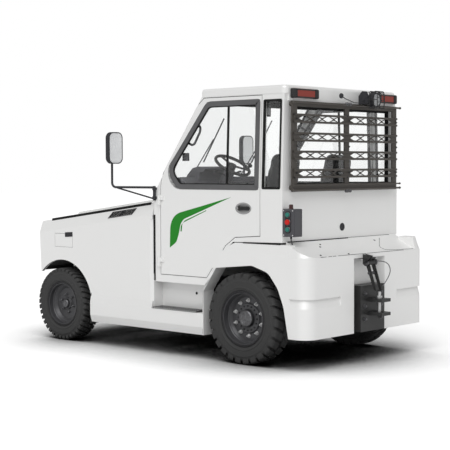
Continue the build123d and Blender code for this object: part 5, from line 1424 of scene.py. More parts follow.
@dataclass
class Flanks:
    """Vents, seals, step grips and mud flaps on both sides."""

    vent_starts: Flat = (792.0, 618.0)
    vent_width: float = 162.0
    vent_rise: Flat = (34.0, 88.0)
    vent_lean: float = 50.0
    slats: int = 6
    slat_pitch: float = 26.0
    bonnet_rise: float = 115.0
    fender_top_z: float = 1300.0
    step_x: Flat = (-440.0, 156.0)
    step_face_y: float = 914.0
    tread_z: float = 442.0
    teeth: int = 38
    well_wall_y: float = 459.5

    def vents(self) -> None:
        """Two groups of slanted slats in a frame on each shoulder."""
        skin = Skin("front_fenders")
        low, high = self.vent_rise

        def place(u: float, v: float, out: float = 0.0) -> Point:
            """Point at a distance along the shoulder and a share of its height."""
            x = u - self.vent_lean * v
            return skin.side(x, fender_crease(x) + low + (high - low) * v, out)

        slats, frames = Maker(), Maker()
        for start in self.vent_starts:
            for index in range(self.slats):
                left = start - 6.0 - index * self.slat_pitch
                slats.plate(panel((left, left - 15), (0.1, 0.9), 0), place, -1.0, 5.0)
            outer = panel((start + 8, start - self.vent_width), (-0.04, 1.04), 0)
            inner = panel((start + 3, start - self.vent_width + 5), (0.04, 0.96), 0)
            frames.ring(outer, inner, place, -1.0, 6.0)
        slats.mirrored().publish("shoulder_vent_slats", "trim_black", GAP_RUBBER)
        frames.mirrored().publish("shoulder_vent_frames", "trim_black", TRIM_BLACK, bevel=0.8)

    def charging_cover(self) -> None:
        """Seam of the charging cover and the dark window in its upper corner."""
        skin = Skin("front_fenders")
        outline = rounded([(1334, 1082, 5), (1450, 1074, 5), (1450, 1122, 5), (1334, 1130, 5)], 4)
        window = Maker().rim(outline, 6, skin.side, -0.5, 3.0)
        window.plate(inset(outline, 5), skin.side, -0.5, 1.2)
        for z in spaced(1088, 1121, 4):
            window.plate([(1344, z), (1440, z - 6), (1440, z - 1.5), (1344, z + 4.5)], skin.side, 0.5, 2.6)
        edge = panel((1334, 1614), (970, 1109), 12, 4)
        groove = Maker().tube([skin.side(x, z, -1.0) for x, z in edge], 2.0, 8, closed=True)
        groove.mirrored().publish("charging_cover_seam", "trim_black", SEAL_RUBBER)
        window.mirrored().publish("charging_cover_window", "trim_black", TRIM_BLACK, bevel=0.6, segments=1)

    def seals(self) -> None:
        """Dark rubber between the cab, the fenders, the deck and the bonnet; the dark band under the bonnet's edge is
        also painted shadow of its overhang.
        """
        skin = Skin("rear_fenders", "rear_deck")
        side = [skin.top(x, 878.0, 1.0) for x in (-900, -1000, -1100, -1204, -1320, -1440)]
        cab = Maker().tube([(x, 889.0, z + 2.0) for x, _, z in side if z < self.fender_top_z], 5.0, 10)
        cab.tube([skin.top(-1472.0, y, 0.5) for y in (830, 700, 520, 400, 250, 80, -57)], 6.0, 10)
        cab.publish("cab_base_seal", "trim_black", GAP_RUBBER)
        thin = Maker().tube([skin.top(-1466.0, y, 0.5) for y in (-57, -250, -400, -560, -740)], 2.6, 8)
        thin.publish("cab_base_seam", "trim_black", SEAL_RUBBER)
        # Dark band along each bonnet edge: seal, and painted shadow under the bonnet's overhang.
        bonnet = Maker().loft([
            [(x, y, fender_crease(x) + self.bonnet_rise + rise)
             for y, rise in ((863.5, -14), (865.5, 3), (860.0, 13.0), (846.0, 1.0))]
            for x in spaced(1700.0, 212.0, 13)])
        bonnet.mirrored().publish("bonnet_side_seals_and_painted_shadow", "trim_black", GAP_RUBBER, bevel=0.8, segments=1)

    def steps(self) -> None:
        """Toothed grip strips with bright studs along each step, its edge, and plugs behind it."""
        grips, studs, plugs = Maker(), Maker(), Maker()
        for y, x in product((784.0, 828.0, 872.0, 908.0), spaced(-424.0, 142.0, self.teeth)):
            grips.loft([
                [(x + u * wide, y + v * deep, z) for u, v in ((-1, -1), (1, -1), (1, 1), (-1, 1))]
                for wide, deep, z in ((5, 3, self.tread_z), (2, 2, self.tread_z + 7))])
        for row, y in enumerate((806.0, 850.0, 892.0)):
            studs.turned(
                [(8, 0), (7.4, 2.2), (5, 4.0), (0, 4.8)],
                [(-412.0 + 28.6 * index + (row % 2) * 14.0, y, self.tread_z + 0.8) for index in range(19)],
                UPWARDS, 12)
        studs.turned(
            [(7.5, 0), (7, 2), (4, 4), (0, 4.4)], [(-424.0 + 28.2 * index, 916.5, 439.0) for index in range(21)],
            (0, 1, 0.4), 12)
        grips.mirrored().publish("step_grip_teeth", "tread_rubber", TREAD_RUBBER)
        studs.mirrored().publish("step_grip_studs", "bright_steel", BRIGHT_STEEL, smooth=50)
        edge = Maker().plate(panel(self.step_x, (431, 444), 0), facing("y", self.step_face_y), -1.0, 3.0)
        edge.mirrored().publish("step_edges", "tread_rubber", TREAD_RUBBER, bevel=1.2)
        plugs.turned(
            [(13, 0), (13, 3), (10, 5), (0, 5)], [(-310.0, 772.0, 596.0), (-480.0, 772.0, 600.0)], LEFTWARDS, 24)
        plugs.mirrored().publish("step_wall_plugs", "trim_black", GAP_RUBBER)

    def arches(self) -> None:
        """Lips, mud flaps and dark walls of the wheel wells, and the dark strips behind the fenders: gap rubber, and
        painted shade of the fenders' rear chamfers.
        """
        flaps = Maker().loft([
            [(x, 700, z), (x, 900, z), (x + thin, 904, z), (x + thin, 700, z)]
            for z, x, thin in ((520.0, 1046.0, 5.0), (400.0, 1044.0, 5.0), (290.0, 1050.0, 5.0), (205.0, 1060.0, 4.0))])
        flaps.mirrored().publish("front_mud_flaps", "liner_black", LINER_BLACK, bevel=1.2)
        lips = Maker().tube([(x, 893.0, z) for x, z in front_arch(465, 46, 163, 41)], 7.0, 10)
        lips.mirrored().publish("front_arch_lips", "liner_black", LINER_BLACK)
        inner = Maker().plate(
            [*front_arch(474, 42, 166, 25), (1045.0, 490.0), (1850.0, 490.0)], facing("y", self.well_wall_y), 0.0,
            3.0)
        inner.box((1822.0, 1827.0), (462.0, 866.0), (712.0, 790.0))
        inner.mirrored().publish("wheel_well_walls", "liner_black", LINER_BLACK)
        # Dark strip behind each front fender: the gap, and painted shade of the fender's rear chamfer.
        gap_and_shade_strips = Maker().plate(panel((131, 157), (700, 1336), 0), facing("y", DOOR_Y), -1.0, 3.0)
        gap_and_shade_strips.mirrored().publish("fender_rear_seals", "trim_black", GAP_RUBBER)
        walls = Maker().loft([
            [(x, 776, z), (x, wide, z), (x + 2.2, wide, z), (x + 2.2, 776, z)]
            for z, x, wide in ((240.0, -516.2, 911), (640.0, -516.2, 911), (760.0, -600.0, 886), (868.0, -676.0, 886))])
        walls.mirrored().publish("splash_wall_coating", "liner_black", SPLASH_GREY)

    def build(self) -> None:
        """Build all of it."""
        self.vents()
        self.charging_cover()
        self.seals()
        self.steps()
        self.arches()


# ---- rear ----


@dataclass
class RearTrim:
    """Lamps, guard fittings, switches, seams and tow gear at the rear."""

    lamp_spans: tuple[Flat, ...] = ((420.0, 784.0), (-815.0, -496.0))
    lamp_z: Flat = (2402.4, 2487.6)
    lamp_cap: float = 46.0
    lamp_back_x: float = -1469.4
    lamp_face_x: float = -1500.0
    work_lamp: Point = (-1619.0, -305.0, 2417.0)
    guard_x: float = -1524.0
    guard_ends: Flat = (812.0, -838.0)
    rail_x: float = -1519.0
    rail_lows: tuple[float, ...] = (1694.0, 1857.0, 2020.0, 2183.0)
    box_x: float = -1587.0
    button_x: float = -1522.0
    deck_slope: Point = (-0.38, 0, 0.92)

    def tail_lamps(self) -> None:
        """Dark end caps and a rim round each lens."""
        caps, rims = Maker(), Maker()
        bottom, top = self.lamp_z
        for low, high in self.lamp_spans:
            for start, end in ((low - 1.6, low + self.lamp_cap), (high - self.lamp_cap, high + 1.6)):
                near, far = 14 if start < low else 3, 14 if end > high else 3
                outline = rounded([(start, bottom, near), (end, bottom, far), (end, top, far), (start, top, near)], 5)
                caps.domed(outline, facing("x", self.lamp_back_x, -1.0), ((0.0, 0), (30.0, 0), (35.6, 4)))
            outline = panel((low + 44, high - 44), (2404, 2486), 3, 3)
            rims.rim(outline, 13, facing("x", self.lamp_face_x, -1.0), 0.0, 5.6)
        caps.publish("tail_lamp_caps", "trim_black", LAMP_HOUSING, bevel=1.5)
        rims.publish("tail_lamp_rims", "trim_black", LAMP_HOUSING, bevel=1.5)

    def work_light(self) -> None:
        """Lens, bezel and wire cage, and a small disc on a bent stalk."""
        x, y, z = self.work_lamp
        bezel = Maker().lathe(
            [(58, -4), (70, -4), (70, 5), (67, 8), (60, 8), (58, 4), (58, -4)], self.work_lamp, BACKWARDS, 48)
        bezel.publish("work_lamp_bezel", "trim_black", TRIM_BLACK, bevel=1.0)
        lens = Maker().lathe([(60, 0), (59, 3), (48, 9), (30, 13), (0, 15)], self.work_lamp, BACKWARDS, 48)
        lens.publish("work_lamp_lens", "lamp_clear", LAMP_PALE)
        cage = Maker()
        for reach, wide, tall in ((-20.0, 82.0, 80.0), (30.0, 82.0, 80.0), (52.0, 58.0, 58.0)):
            loop = bent([
                ((x - reach, y + u * wide, z + v * tall), 22)
                for u, v in ((0, 1), (1, 1), (1, -1), (-1, -1), (-1, 1), (0, 1))], 4)
            cage.tube(loop[:-1], 4.0, 8, closed=True)
        for u, v in ((1, 1), (1, -1), (-1, -1), (-1, 1), (0, 1), (0, -1), (1, 0), (-1, 0)):
            pull = 0.93 if u and v else 1.0
            cage.tube([
                (x - reach, y + wide * u * pull, z + tall * v * pull)
                for reach, wide, tall in ((-44, 80, 78), (30, 82, 80), (52, 58, 58))], 3.6, 8)
        for v in (-0.35, 0.35):
            cage.tube([(x - 52, y - 58, z + 58 * v), (x - 52, y + 58, z + 58 * v)], 3.2, 8)
        cage.publish("work_lamp_cage", "trim_black", FRAME_BLACK)
        stalk = Maker().tube(bent([
            ((-1532, 118, 2440), 0), ((-1534, 60, 2418), 30), ((-1536, -70, 2388), 40),
            ((-1538, -232, 2384), 0)], 6), 4.0, 10)
        stalk.lathe([(20, -6), (24, -4), (25, 0), (24, 4), (18, 6), (0, 7)], (-1534, 127, 2443), (-1, 0.2, 0), 28)
        stalk.bolt((-1536, -226.5, 2417), LEFTWARDS, 9, 9)
        stalk.bolt((-1574, -226.5, 2452), LEFTWARDS, 7, 7)
        stalk.publish("marker_disc_stalk", "trim_black", TRIM_BLACK)

    def guard(self) -> None:
        """Bolts, clamps and the long bars of the guard."""
        bars, rails, clamps, bolts = Maker(), Maker(), Maker(), Maker()
        left, right = self.guard_ends
        for z, radius in ((2362.0, 9.0), (1588.0, 9.0), (1630.0, 7.0)):
            bars.tube([(self.guard_x, left, z), (self.guard_x, right, z)], radius, 16)
            for y, axis in ((left, LEFTWARDS), (right, (0, -1, 0))):
                bars.lathe(
                    [(radius + 2.5, -7), (radius + 2.5, 4), (radius, 7), (0, 8)], (self.guard_x, y, z), axis, 16)
        bars.publish("guard_long_bars", "guard_grey", GUARD_GREY)
        for low, lift in product(self.rail_lows, (-1, 62)):
            rails.loft([
                [(self.rail_x - d, y, low + lift + h) for d, h in ((0, 0), (5, 2), (5, 18), (0, 20), (-3, 20), (-3, 0))]
                for y in (793.5, -793.5)])
        rails.publish("guard_lattice_rails", "guard_grey", GUARD_GREY)
        for z, y in product((2370.0, 1572.0), (30.0, -18.0)):
            clamps.lathe([(17, -14), (17, 8), (14, 12), (6, 12), (5, 8), (0, 8)], (-1526, y, z), BACKWARDS, 20)
            clamps.bolt((-1536, y, z), BACKWARDS, 8, 8)
        clamps.publish("guard_clamps", "guard_grey", HUB_STEEL, bevel=0.6)
        for (y, x), (z, shift) in product(
            ((770.0, -1519.5), (0.0, -1520.0), (-770.0, -1519.5)),
            ((1700.0, 18), (1740.0, -14), (2220.0, -14), (2258.0, 18), (1980.0, -14)),
        ):
            bolts.bolt((x, y + shift, z), BACKWARDS, 7.5, 6)
        bolts.publish("guard_bolts", "bright_steel", DARK_STEEL)

    def switches(self) -> None:
        """Coloured buttons, their panel, the lamp, screws and lead of the control box."""
        plate = Maker().plate(panel((-1556, -1488), (1213, 1407), 26), facing("y", DOOR_Y), -1.0, 2.0)
        plate.publish("switch_panel", "control_grey", TRIM_BLACK, bevel=1.0)
        for name, z, radius, finish in (
            ("lower", 1245.0, 20, BUTTON_GREEN), ("stop", 1310.0, 24, BUTTON_RED), ("upper", 1375.0, 20, BUTTON_GREEN),
        ):
            place = (self.button_x, DOOR_Y, z)
            cap = Maker().lathe(
                [(radius, 6), (radius, 17), (radius - 2, 20.5), (10, 22), (0, 22.4)], place, LEFTWARDS, 32)
            cap.publish(f"{name}_button", "control_grey", finish, smooth=50)
            collar = Maker().lathe([
                (radius, 1), (radius + 5, 1), (radius + 5, 6), (radius + 3, 8), (radius, 8), (radius, 1),
            ], place, LEFTWARDS, 32)
            collar.publish(f"{name}_button_collar", "control_grey", HUB_STEEL)
        screws = Maker().turned(
            [(6.5, -1), (6.5, 1.6), (4.5, 3.4), (0, 3.8)],
            [(x, DOOR_Y, z) for x, z in product((-1573.0, -1471.0), (1194.0, 1411.0))], LEFTWARDS, 16)
        screws.publish("switch_box_screws", "bright_steel", BRIGHT_STEEL)
        lid = Maker().rim(panel((772, 876), (1188, 1417), 8, 4), 5, facing("x", self.box_x, -1.0), -1.0, 2.4)
        lid.publish("switch_box_lid_edge", "control_grey", CONTROL_GREY, bevel=0.8)
        lamp = Maker().lathe([
            (22, -2), (22, 5), (19.5, 7), (18.5, 8), (18.5, 32), (15, 40), (0, 42)], (-1535, 858, 1425), UPWARDS, 28)
        lamp.publish("signal_lamp_cap", "lamp_red", LAMP_BROWN)
        gland = Maker().lathe([(9, 0), (9, -14), (6, -22), (0, -22)], (-1530, 851, 1181), UPWARDS, 16)
        gland.publish("switch_box_gland", "trim_black", TRIM_BLACK)
        hang_cord(
            "switch_box_lead", ((-1530, 851, 1176), (-1531, 857, 1150), (-1546, 852, 1110)), 9.0,
            TRIM_BLACK)

    def seams(self) -> None:
        """Plug of the rear wall, and the seam lines, a painted shade line and the catches of the deck."""
        plug = Maker().lathe(
            [(36, -1), (36, 3), (32, 6.5), (20, 7.5), (18, 6), (0, 6)], Skin("cab_rear_wall").rear(10, 1235),
            BACKWARDS, 40)
        plug.publish("rear_wall_plug", "trim_black", TRIM_BLACK, smooth=50)
        deck = Skin("rear_deck")
        lines = Maker().tube([deck.rear(y, 1003.5) for y in (722, 690)], 2.6, 8)
        for start, end in ((700, 640), (610, 560), (545, 500), (470, 40), (30, -560)):
            lines.tube([deck.rear(y, 1002.5) for y in spaced(start, end, 7)], 2.0, 8)
        # Grey line round the recess in the deck's top: painted shade of the recess's edge, not a seam.
        lines.tube([deck.top(x, y, 0.3) for x, y in (
            (-1512, -512), (-1600, -388), (-1660, -304), (-1684, -285), (-1712, -290), (-1731, -306), (-1742, -400),
            (-1750, -540), (-1754, -688), (-1752, -735))], 2.2, 8)
        lines.publish("deck_seams_and_painted_shade", "trim_black", SEAL_RUBBER)
        catches = Maker().turned(
            [(9, -2), (9, 3), (6, 5.5), (0, 5.5)],
            [deck.rear(y, z) for y, z in ((455.0, 1093.0), (520.0, 1076.0), (690.0, 1016.0), (300.0, 1009.0))],
            self.deck_slope, 18)
        catches.lathe(
            [(15, -2), (15, 1.6), (11, 2.6), (9, 0.4), (0, 0.4)], deck.rear(-388.0, 1094.0), self.deck_slope, 4)
        catches.publish("deck_catches", "trim_black", TRIM_BLACK)

    def tow_gear(self) -> None:
        """Bolts, gusset, drum and wire loop of the hitch."""
        plate = Skin("hitch_bracket")
        bolts, gusset, drum = Maker(), Maker(), Maker()
        for y, z in product((125.0, -125.0), (642.0, 526.0, 408.0)):
            bolts.bolt(plate.rear(y, z), BACKWARDS, 17, 15)
            bolts.lathe([(9, 10), (9, 22), (7, 24)], plate.rear(y, z), BACKWARDS, 16)
        bolts.publish("hitch_bolts", "bright_steel", HUB_STEEL, bevel=0.8)
        for y in (62.0, 104.0):
            gusset.plate([(-1764, 998), (-1842, 986), (-1836, 962), (-1764, 905)], facing("y", y), -4.0, 4.0)
        gusset.tube([(-1812, 58, 968), (-1812, 110, 968)], 9, 16)
        gusset.publish("release_lever_gusset", "frame_black", FRAME_BLACK, bevel=1.2)
        for hand in (-1, 1):
            drum.lathe(
                [(20, -8), (29, -6), (30, 0), (29, 6), (20, 9), (9, 10), (9, 16), (0, 17)],
                (-1772, hand * 70.0, 918), (0, hand, 0), 28)
        drum.lathe([(14, -52), (14, 52)], (-1792, 0, 822), LEFTWARDS, 20)
        drum.publish("release_lever_drum", "bright_steel", HUB_STEEL, bevel=0.8)
        hang_cord(
            "release_wire",
            ((-1772, -74, 925), (-1832, -120, 930), (-1854, -196, 884), (-1840, -226, 790), (-1806, -150, 690)),
            8.0, HUB_STEEL)

    def build(self) -> None:
        """Build all of it."""
        self.tail_lamps()
        self.work_light()
        self.guard()
        self.switches()
        self.seams()
        self.tow_gear()


# ---- front ----


@dataclass
class FrontTrim:
    """Windscreen seal and wipers, lamps' bezels, mirrors' faces and bumper fittings."""

    screen_foot: Flat = (104.0, 1590.3)
    screen_head: Flat = (-455.0, 2444.7)
    screen_half: float = 805.0
    wiper_feet: Flat = (460.0, -260.0)
    wiper_lean: float = -60.0
    lamp_middles: Flat = (610.0, -610.0)
    lamp_face_x: float = 1856.0
    grille_x: float = 1852.0
    bumper_x: float = 1950.0
    mirror: Flat = (985.0, 1985.0)

    def on_screen(self, u: float, v: float, out: float = 0.0) -> Point:
        """Point on the windscreen: across, up along it and off it."""
        (x, z), (head_x, head_z) = self.screen_foot, self.screen_head
        run = Vector((head_x - x, head_z - z)).normalized()
        return x + run.x * v + run.y * out, u, z + run.y * v - run.x * out

    def screen(self) -> None:
        """Seal round the windscreen and two wipers."""
        # The seal's foot is on the pane's lower edge, its head 3 mm under the roof.
        tall = math.dist(self.screen_foot, self.screen_head)
        outline = panel((-self.screen_half, self.screen_half), (0, tall - 3), 30)
        Maker().rim(outline, 34, self.on_screen, -10.0, 3.0).publish(
            "windscreen_seal", "trim_black", GAP_RUBBER, bevel=2)
        wipers, lean = Maker(), self.wiper_lean
        for y in self.wiper_feet:
            foot, tip = self.on_screen(y, 44, 8), self.on_screen(y + lean, 560, 16)
            wipers.lathe([(15, -8), (15, 6), (11, 12), (0, 13)], foot, (0.84, 0, 0.55), 20)
            wipers.tube(bent([(foot, 0), (self.on_screen(y + lean * 0.2, 140, 24), 60), (tip, 0)]), 5.5, 10)
            blade = ((-1, 4), (-1, 10), (0, 15), (1, 10), (1, 4), (0, 1.2))
            wipers.loft([[self.on_screen(y + lean + 7 * s, v, out) for s, out in blade] for v in (300, 320, 780, 800)])
        wipers.publish("windscreen_wipers", "trim_black", TRIM_BLACK)

    def lamps(self) -> None:
        """Bezels and round reflectors of the headlamps, the grille's surround and the turn signals."""
        bezels, bowls, turn = Maker(), Maker(), Maker()
        for y in self.lamp_middles:
            bezels.rim(
                panel((y - 134, y + 134), (946, 1074), 13, 5), 13, facing("x", self.lamp_face_x), -6.0, 4.0)
            bowls.turned(
                [(48, -2), (48, 1.5), (45, 2.4), (42, 0.8), (20, 0.6), (18, 2.2), (0, 2.6)],
                [(self.lamp_face_x, y + shift, 1010) for shift in (-62, 62)], FORWARDS, 40)
        bezels.publish("headlamp_bezels", "trim_black", TRIM_BLACK, bevel=1.5)
        bowls.publish("headlamp_reflectors", "bright_steel", BRIGHT_STEEL, smooth=50)
        grille = Maker().rim(panel((-334, 334), (756, 989), 20, 5), 22, facing("x", self.grille_x), -6.0, 9.0)
        grille.publish("grille_surround", "trim_black", TRIM_BLACK, bevel=3)
        for y in (800.0, -800.0):
            turn.domed(
                panel((y - 30, y + 30), (955, 1065), 8, 4), facing("x", 1860.0), ((-4, 0), (6, 0), (10, 5)))
        turn.publish("turn_signal_lenses", "lamp_red", LAMP_AMBER)

    def bumper(self) -> None:
        """Rubber pads and bolts of the front bumper."""
        pads, bolts = Maker(), Maker()
        for limits in ((-420.0, -140.0), (140.0, 420.0)):
            pads.domed(
                panel(limits, (560, 630), 16, 5), facing("x", self.bumper_x), ((-3, 0), (6, 0), (9, 6)))
        pads.publish("bumper_pads", "tread_rubber", TREAD_RUBBER, bevel=1.5)
        for y, z in product((-390.0, -180.0, 180.0, 390.0), (380.0, 490.0)):
            bolts.bolt((self.bumper_x, y, z), FORWARDS, 13, 9)
        bolts.publish("bumper_bolts", "bright_steel", DARK_STEEL, bevel=0.8)

    def mirrors(self) -> None:
        """Face with a painted reflection, rim, rounded back and post clamps of the outside mirrors."""
        y, z = self.mirror
        outline = panel((y - 90, y + 90), (z - 155, z + 155), 58, 8)
        back = facing("x", 579.0, -1.0)
        rims = Maker().rim(outline, 9, back, -3.0, 6.0)
        rims.mirrored().publish("mirror_rims", "trim_black", TRIM_BLACK, bevel=2)
        # The mirror face is near-white paint: a painted reflection.
        glass = Maker().plate(inset(outline, 8), back, -1.0, 2.5)
        glass.mirrored().publish("mirror_faces", "trim_black", MIRROR_PAINTED_REFLECTION)
        backs = Maker().domed(outline, facing("x", 624.0), ((-2, 0.5), (8, 6), (15, 20), (18, 44)))
        backs.tube([(633, y, z + 30), (633, y, z - 120)], 15, 16)
        backs.mirrored().publish("mirror_backs", "trim_black", TRIM_BLACK, bevel=2, smooth=50)
        clamps = Maker()
        for height in (1500.0, 1588.0):
            clamps.box((108, 152), (884.2, 900), (height - 12, height + 12))
            clamps.lathe([(20, -14), (20, 14)], (130, 898, height), UPWARDS, 20)
        clamps.mirrored().publish("mirror_post_clamps", "trim_black", TRIM_BLACK, bevel=2)

    def build(self) -> None:
        """Build all of it, and the closing plates at the front end of each step."""
        self.screen()
        self.lamps()
        self.bumper()
        self.mirrors()
        plate = Maker().box((150.2, 156.0), (762.0, 888.0), (432.0, 766.0))
        plate.mirrored().publish("step_end_plates", "body_white", BODY_WHITE, bevel=1.0)


# ---- inside the cab ----


@dataclass
class CabInside:
    """Instruments, controls, linings and handles in the cab."""

    wheel_centre: Point = (-440.0, 400.0, 1810.0)
    column_tilt: float = math.radians(32.0)
    floor_z: float = 800.0
    platform_z: float = 1150.0
    mat_ribs: int = 24
    rib_pitch: float = 22.0
    roof_ribs: int = 5
    cabin_mirror_x: float = -500.0
    rear_lining_x: float = -1411.5

    def on_column(self, ahead: float, across: float, up: float) -> Point:
        """Point from the steering wheel's centre, along its own plane and axis."""
        x, y, z = self.wheel_centre
        sin_t, cos_t = math.sin(self.column_tilt), math.cos(self.column_tilt)
        return x + ahead * cos_t - up * sin_t, y + across, z + ahead * sin_t + up * cos_t

    def on_hood(self, u: float, v: float, out: float = 0.0) -> Point:
        """Point on the sloping face of the instrument hood."""
        return -205 - out * 0.96 + v * 0.2, u, 1674 + v + out * 0.2

    def on_dash(self, u: float, v: float, out: float = 0.0) -> Point:
        """Point on the dashboard's rear face."""
        return -199 - (v - 1450) * 0.158 - out, u, v

    def dash(self) -> None:
        """Instrument hood, screen, panels, switches and air outlets."""
        hood = Maker().loft([
            [(x, y, z + (grow if swells else 0)) for x, z, swells in (
                (-30, 1686, False), (-48, 1738, True), (-100, 1786, True), (-175, 1800, True), (-262, 1784, True),
                (-270, 1772, True), (-214, 1766, True), (-208, 1668, False))]
            for y, grow in ((170, -26), (196, 0), (600, 0), (626, -26))])
        hood.publish("instrument_hood", "dash_grey", DASH_GREY, bevel=5, segments=3, smooth=50)
        outline = panel((282, 526), (0, 68), 8, 4)
        Maker().rim(outline, 7, self.on_hood, -2.0, 4.0).publish(
            "instrument_frame", "trim_black", TRIM_BLACK, bevel=1.2)
        Maker().plate(inset(outline, 6), self.on_hood, -2.0, 1.5).publish(
            "instrument_screen", "dash_grey", SCREEN_DARK)
        panels, switches = Maker(), Maker()
        for limits in ((-760, -60), (-40, 230)):
            outline = panel(limits, (1462, 1632), 14, 4)
            panels.rim(outline, 10, self.on_dash, -1.0, 7.0).plate(inset(outline, 8), self.on_dash, -1.0, 3.0)
        panels.publish("dash_panels", "dash_grey", PANEL_GREY, bevel=2, smooth=40)
        for y in spaced(-20.0, 140.0, 6):
            switches.domed(
                panel((y - 11, y + 11), (1575, 1612), 3, 3), facing("x", -222.0, -1.0), ((0, 0), (6, 0), (9, 2)))
        switches.turned(
            [(17, 0), (17, 12), (14, 15), (0, 15)], [(-210, y, 1520) for y in (-20.0, 60.0, 140.0)],
            (-1, 0, -0.15), 24)
        switches.turned(
            [(34, -6), (34, 5), (29, 8), (26, 2), (0, 2)],
            [(-214, y, 1600) for y in (-640.0, -480.0, 620.0, 720.0)], (-1, 0, -0.1), 32)
        switches.publish("dash_switches", "dash_grey", WHEEL_PLASTIC, bevel=0.8)

    def column(self) -> None:
        """Shroud and stalks of the column, and the knob and hub of the wheel."""
        shroud = Maker().loft([
            [self.on_column(wide * math.cos(a), tall * math.sin(a), up) for a in turns(24)]
            for up, wide, tall in ((-62, 30, 26), (-70, 52, 46), (-150, 58, 52), (-250, 54, 48), (-300, 46, 40))])
        shroud.publish("column_shroud", "wheel_plastic", DASH_GREY, bevel=2, smooth=40)
        stalks = Maker()
        for hand in (-1, 1):
            stalks.tube(bent([
                (self.on_column(0, hand * 44, -110), 0), (self.on_column(20, hand * 110, -96), 30),
                (self.on_column(20, hand * 178, -84), 0)]), 5.5, 10)
            stalks.tube([self.on_column(20, hand * 150, -90), self.on_column(20, hand * 192, -82)], 9.5, 14)
        stalks.publish("column_stalks", "wheel_plastic", WHEEL_PLASTIC, bevel=1.0)
        axis = (-math.sin(self.column_tilt), 0, math.cos(self.column_tilt))
        hub = Maker().lathe(
            [(40, -6), (44, 0), (44, 6), (38, 12), (20, 14), (0, 14)], self.on_column(0, 0, -2), axis, 36)
        hub.publish("steering_wheel_hub", "wheel_plastic", WHEEL_PLASTIC, Body.STEERING_WHEEL)
        knob = Maker().lathe(
            [(8, -4), (8, 12), (18, 18), (23, 28), (22, 38), (14, 45), (0, 47)],
            self.on_column(175 * math.cos(-2.0), 175 * math.sin(-2.0), 12), axis, 28)
        knob.publish("steering_knob", "wheel_plastic", WHEEL_PLASTIC, Body.STEERING_WHEEL)

    def levers(self) -> None:
        """Brake lever, pedals and floor mat."""
        lever = Maker().tube(bent([((-560, 60, 1150), 0), ((-600, 60, 1280), 40), ((-660, 60, 1440), 0)]), 9, 14)
        lever.tube([(-645, 60, 1400), (-682, 60, 1500)], 16, 18)
        lever.lathe([(34, 0), (34, 6), (26, 22), (14, 34), (10, 36)], (-560, 60, self.platform_z), UPWARDS, 28)
        lever.publish("parking_brake_lever", "wheel_plastic", WHEEL_PLASTIC, bevel=1.0)
        pedals, mat = Maker(), Maker()

        def on_pedal(u: float, v: float, out: float = 0.0) -> Point:
            """Point on a pedal's sloping face."""
            return -40 + v * 0.75 - out * 0.66, u, 930 + v * 0.66 + out * 0.75

        for y, half in ((500.0, 45.0), (360.0, 38.0)):
            pedals.plate(panel((y - half, y + half), (0, 92), 10, 4), on_pedal, 0, 9)
            for row in range(4):
                x, z = -40 + row * 16, 938 + row * 15
                pedals.box((x, x + 8), (y - half + 8, y + half - 8), (z, z + 10))
            pedals.tube([(-10, y, 960), (70, y, 1120)], 8, 12)
        pedals.publish("pedals", "tread_rubber", TREAD_RUBBER, bevel=1.2)
        for index in range(self.mat_ribs):
            x = -560 + index * self.rib_pitch
            mat.plate(panel((x, x + 12), (-780, 780), 0), facing("z", self.floor_z), -1.0, 4.0)
        mat.publish("floor_mat_ribs", "cab_grey", TREAD_RUBBER)

    def linings(self) -> None:
        """Linings of the roof and the rear wall, the grab handles and the cabin mirror's face, which carries a painted
        reflection.
        """
        lining = Maker().domed(
            panel((-1395, -520), (-782, 782), 60), facing("z", 0.0), ((2444.5, 0), (2396, 4), (2378, 26)))
        for x in spaced(-1300.0, -620.0, self.roof_ribs):
            lining.box((x, x + 60), (-700, 700), (2368, 2379))
        lining.publish("roof_lining", "cab_grey", LINING_DARK, bevel=6, segments=3)
        top, bottom = (-300, 788, 2215), (-205, 796, 2035)
        grip = Maker().tube(bent([
            (top, 0), ((-386, 786, 2172), 30), ((-374, 786, 2122), 20), ((-308, 790, 2012), 40),
            ((-276, 792, 2003), 20), (bottom, 0)], 6), 11, 14)
        grip.box((-240, -168), (790, 812), (1853, 1929))
        grip.turned([(19, -8), (19, 6), (13, 14), (0, 14)], (top, bottom), (0.5, 0, 0.4), 20)
        grip.mirrored().publish("pillar_grab_handles", "trim_black", TRIM_BLACK, bevel=1.5)
        outline = panel((-96, 96), (2294, 2416), 16)
        back = facing("x", self.cabin_mirror_x, -1.0)
        Maker().rim(outline, 7, back, -2.0, 6.0).publish("cabin_mirror_rim", "trim_black", TRIM_BLACK, bevel=1.5)
        # The cabin mirror's face is near-white paint: a painted reflection.
        Maker().plate(inset(outline, 6), back, -1.0, 3.0).publish("cabin_mirror_painted_reflection", "trim_black", MIRROR_PAINTED_REFLECTION)
        wall = Maker()
        for limits in ((-770, -20), (20, 770)):
            wall.domed(
                panel(limits, (1190, 1570), 30, 5), facing("x", self.rear_lining_x), ((0, 0), (10, 2), (16, 14)))
        wall.publish("rear_wall_lining", "cab_grey", LINING_DARK, bevel=3)

    def build(self) -> None:
        """Build all of it."""
        self.dash()
        self.column()
        self.levers()
        self.linings()


# ---- seats ----


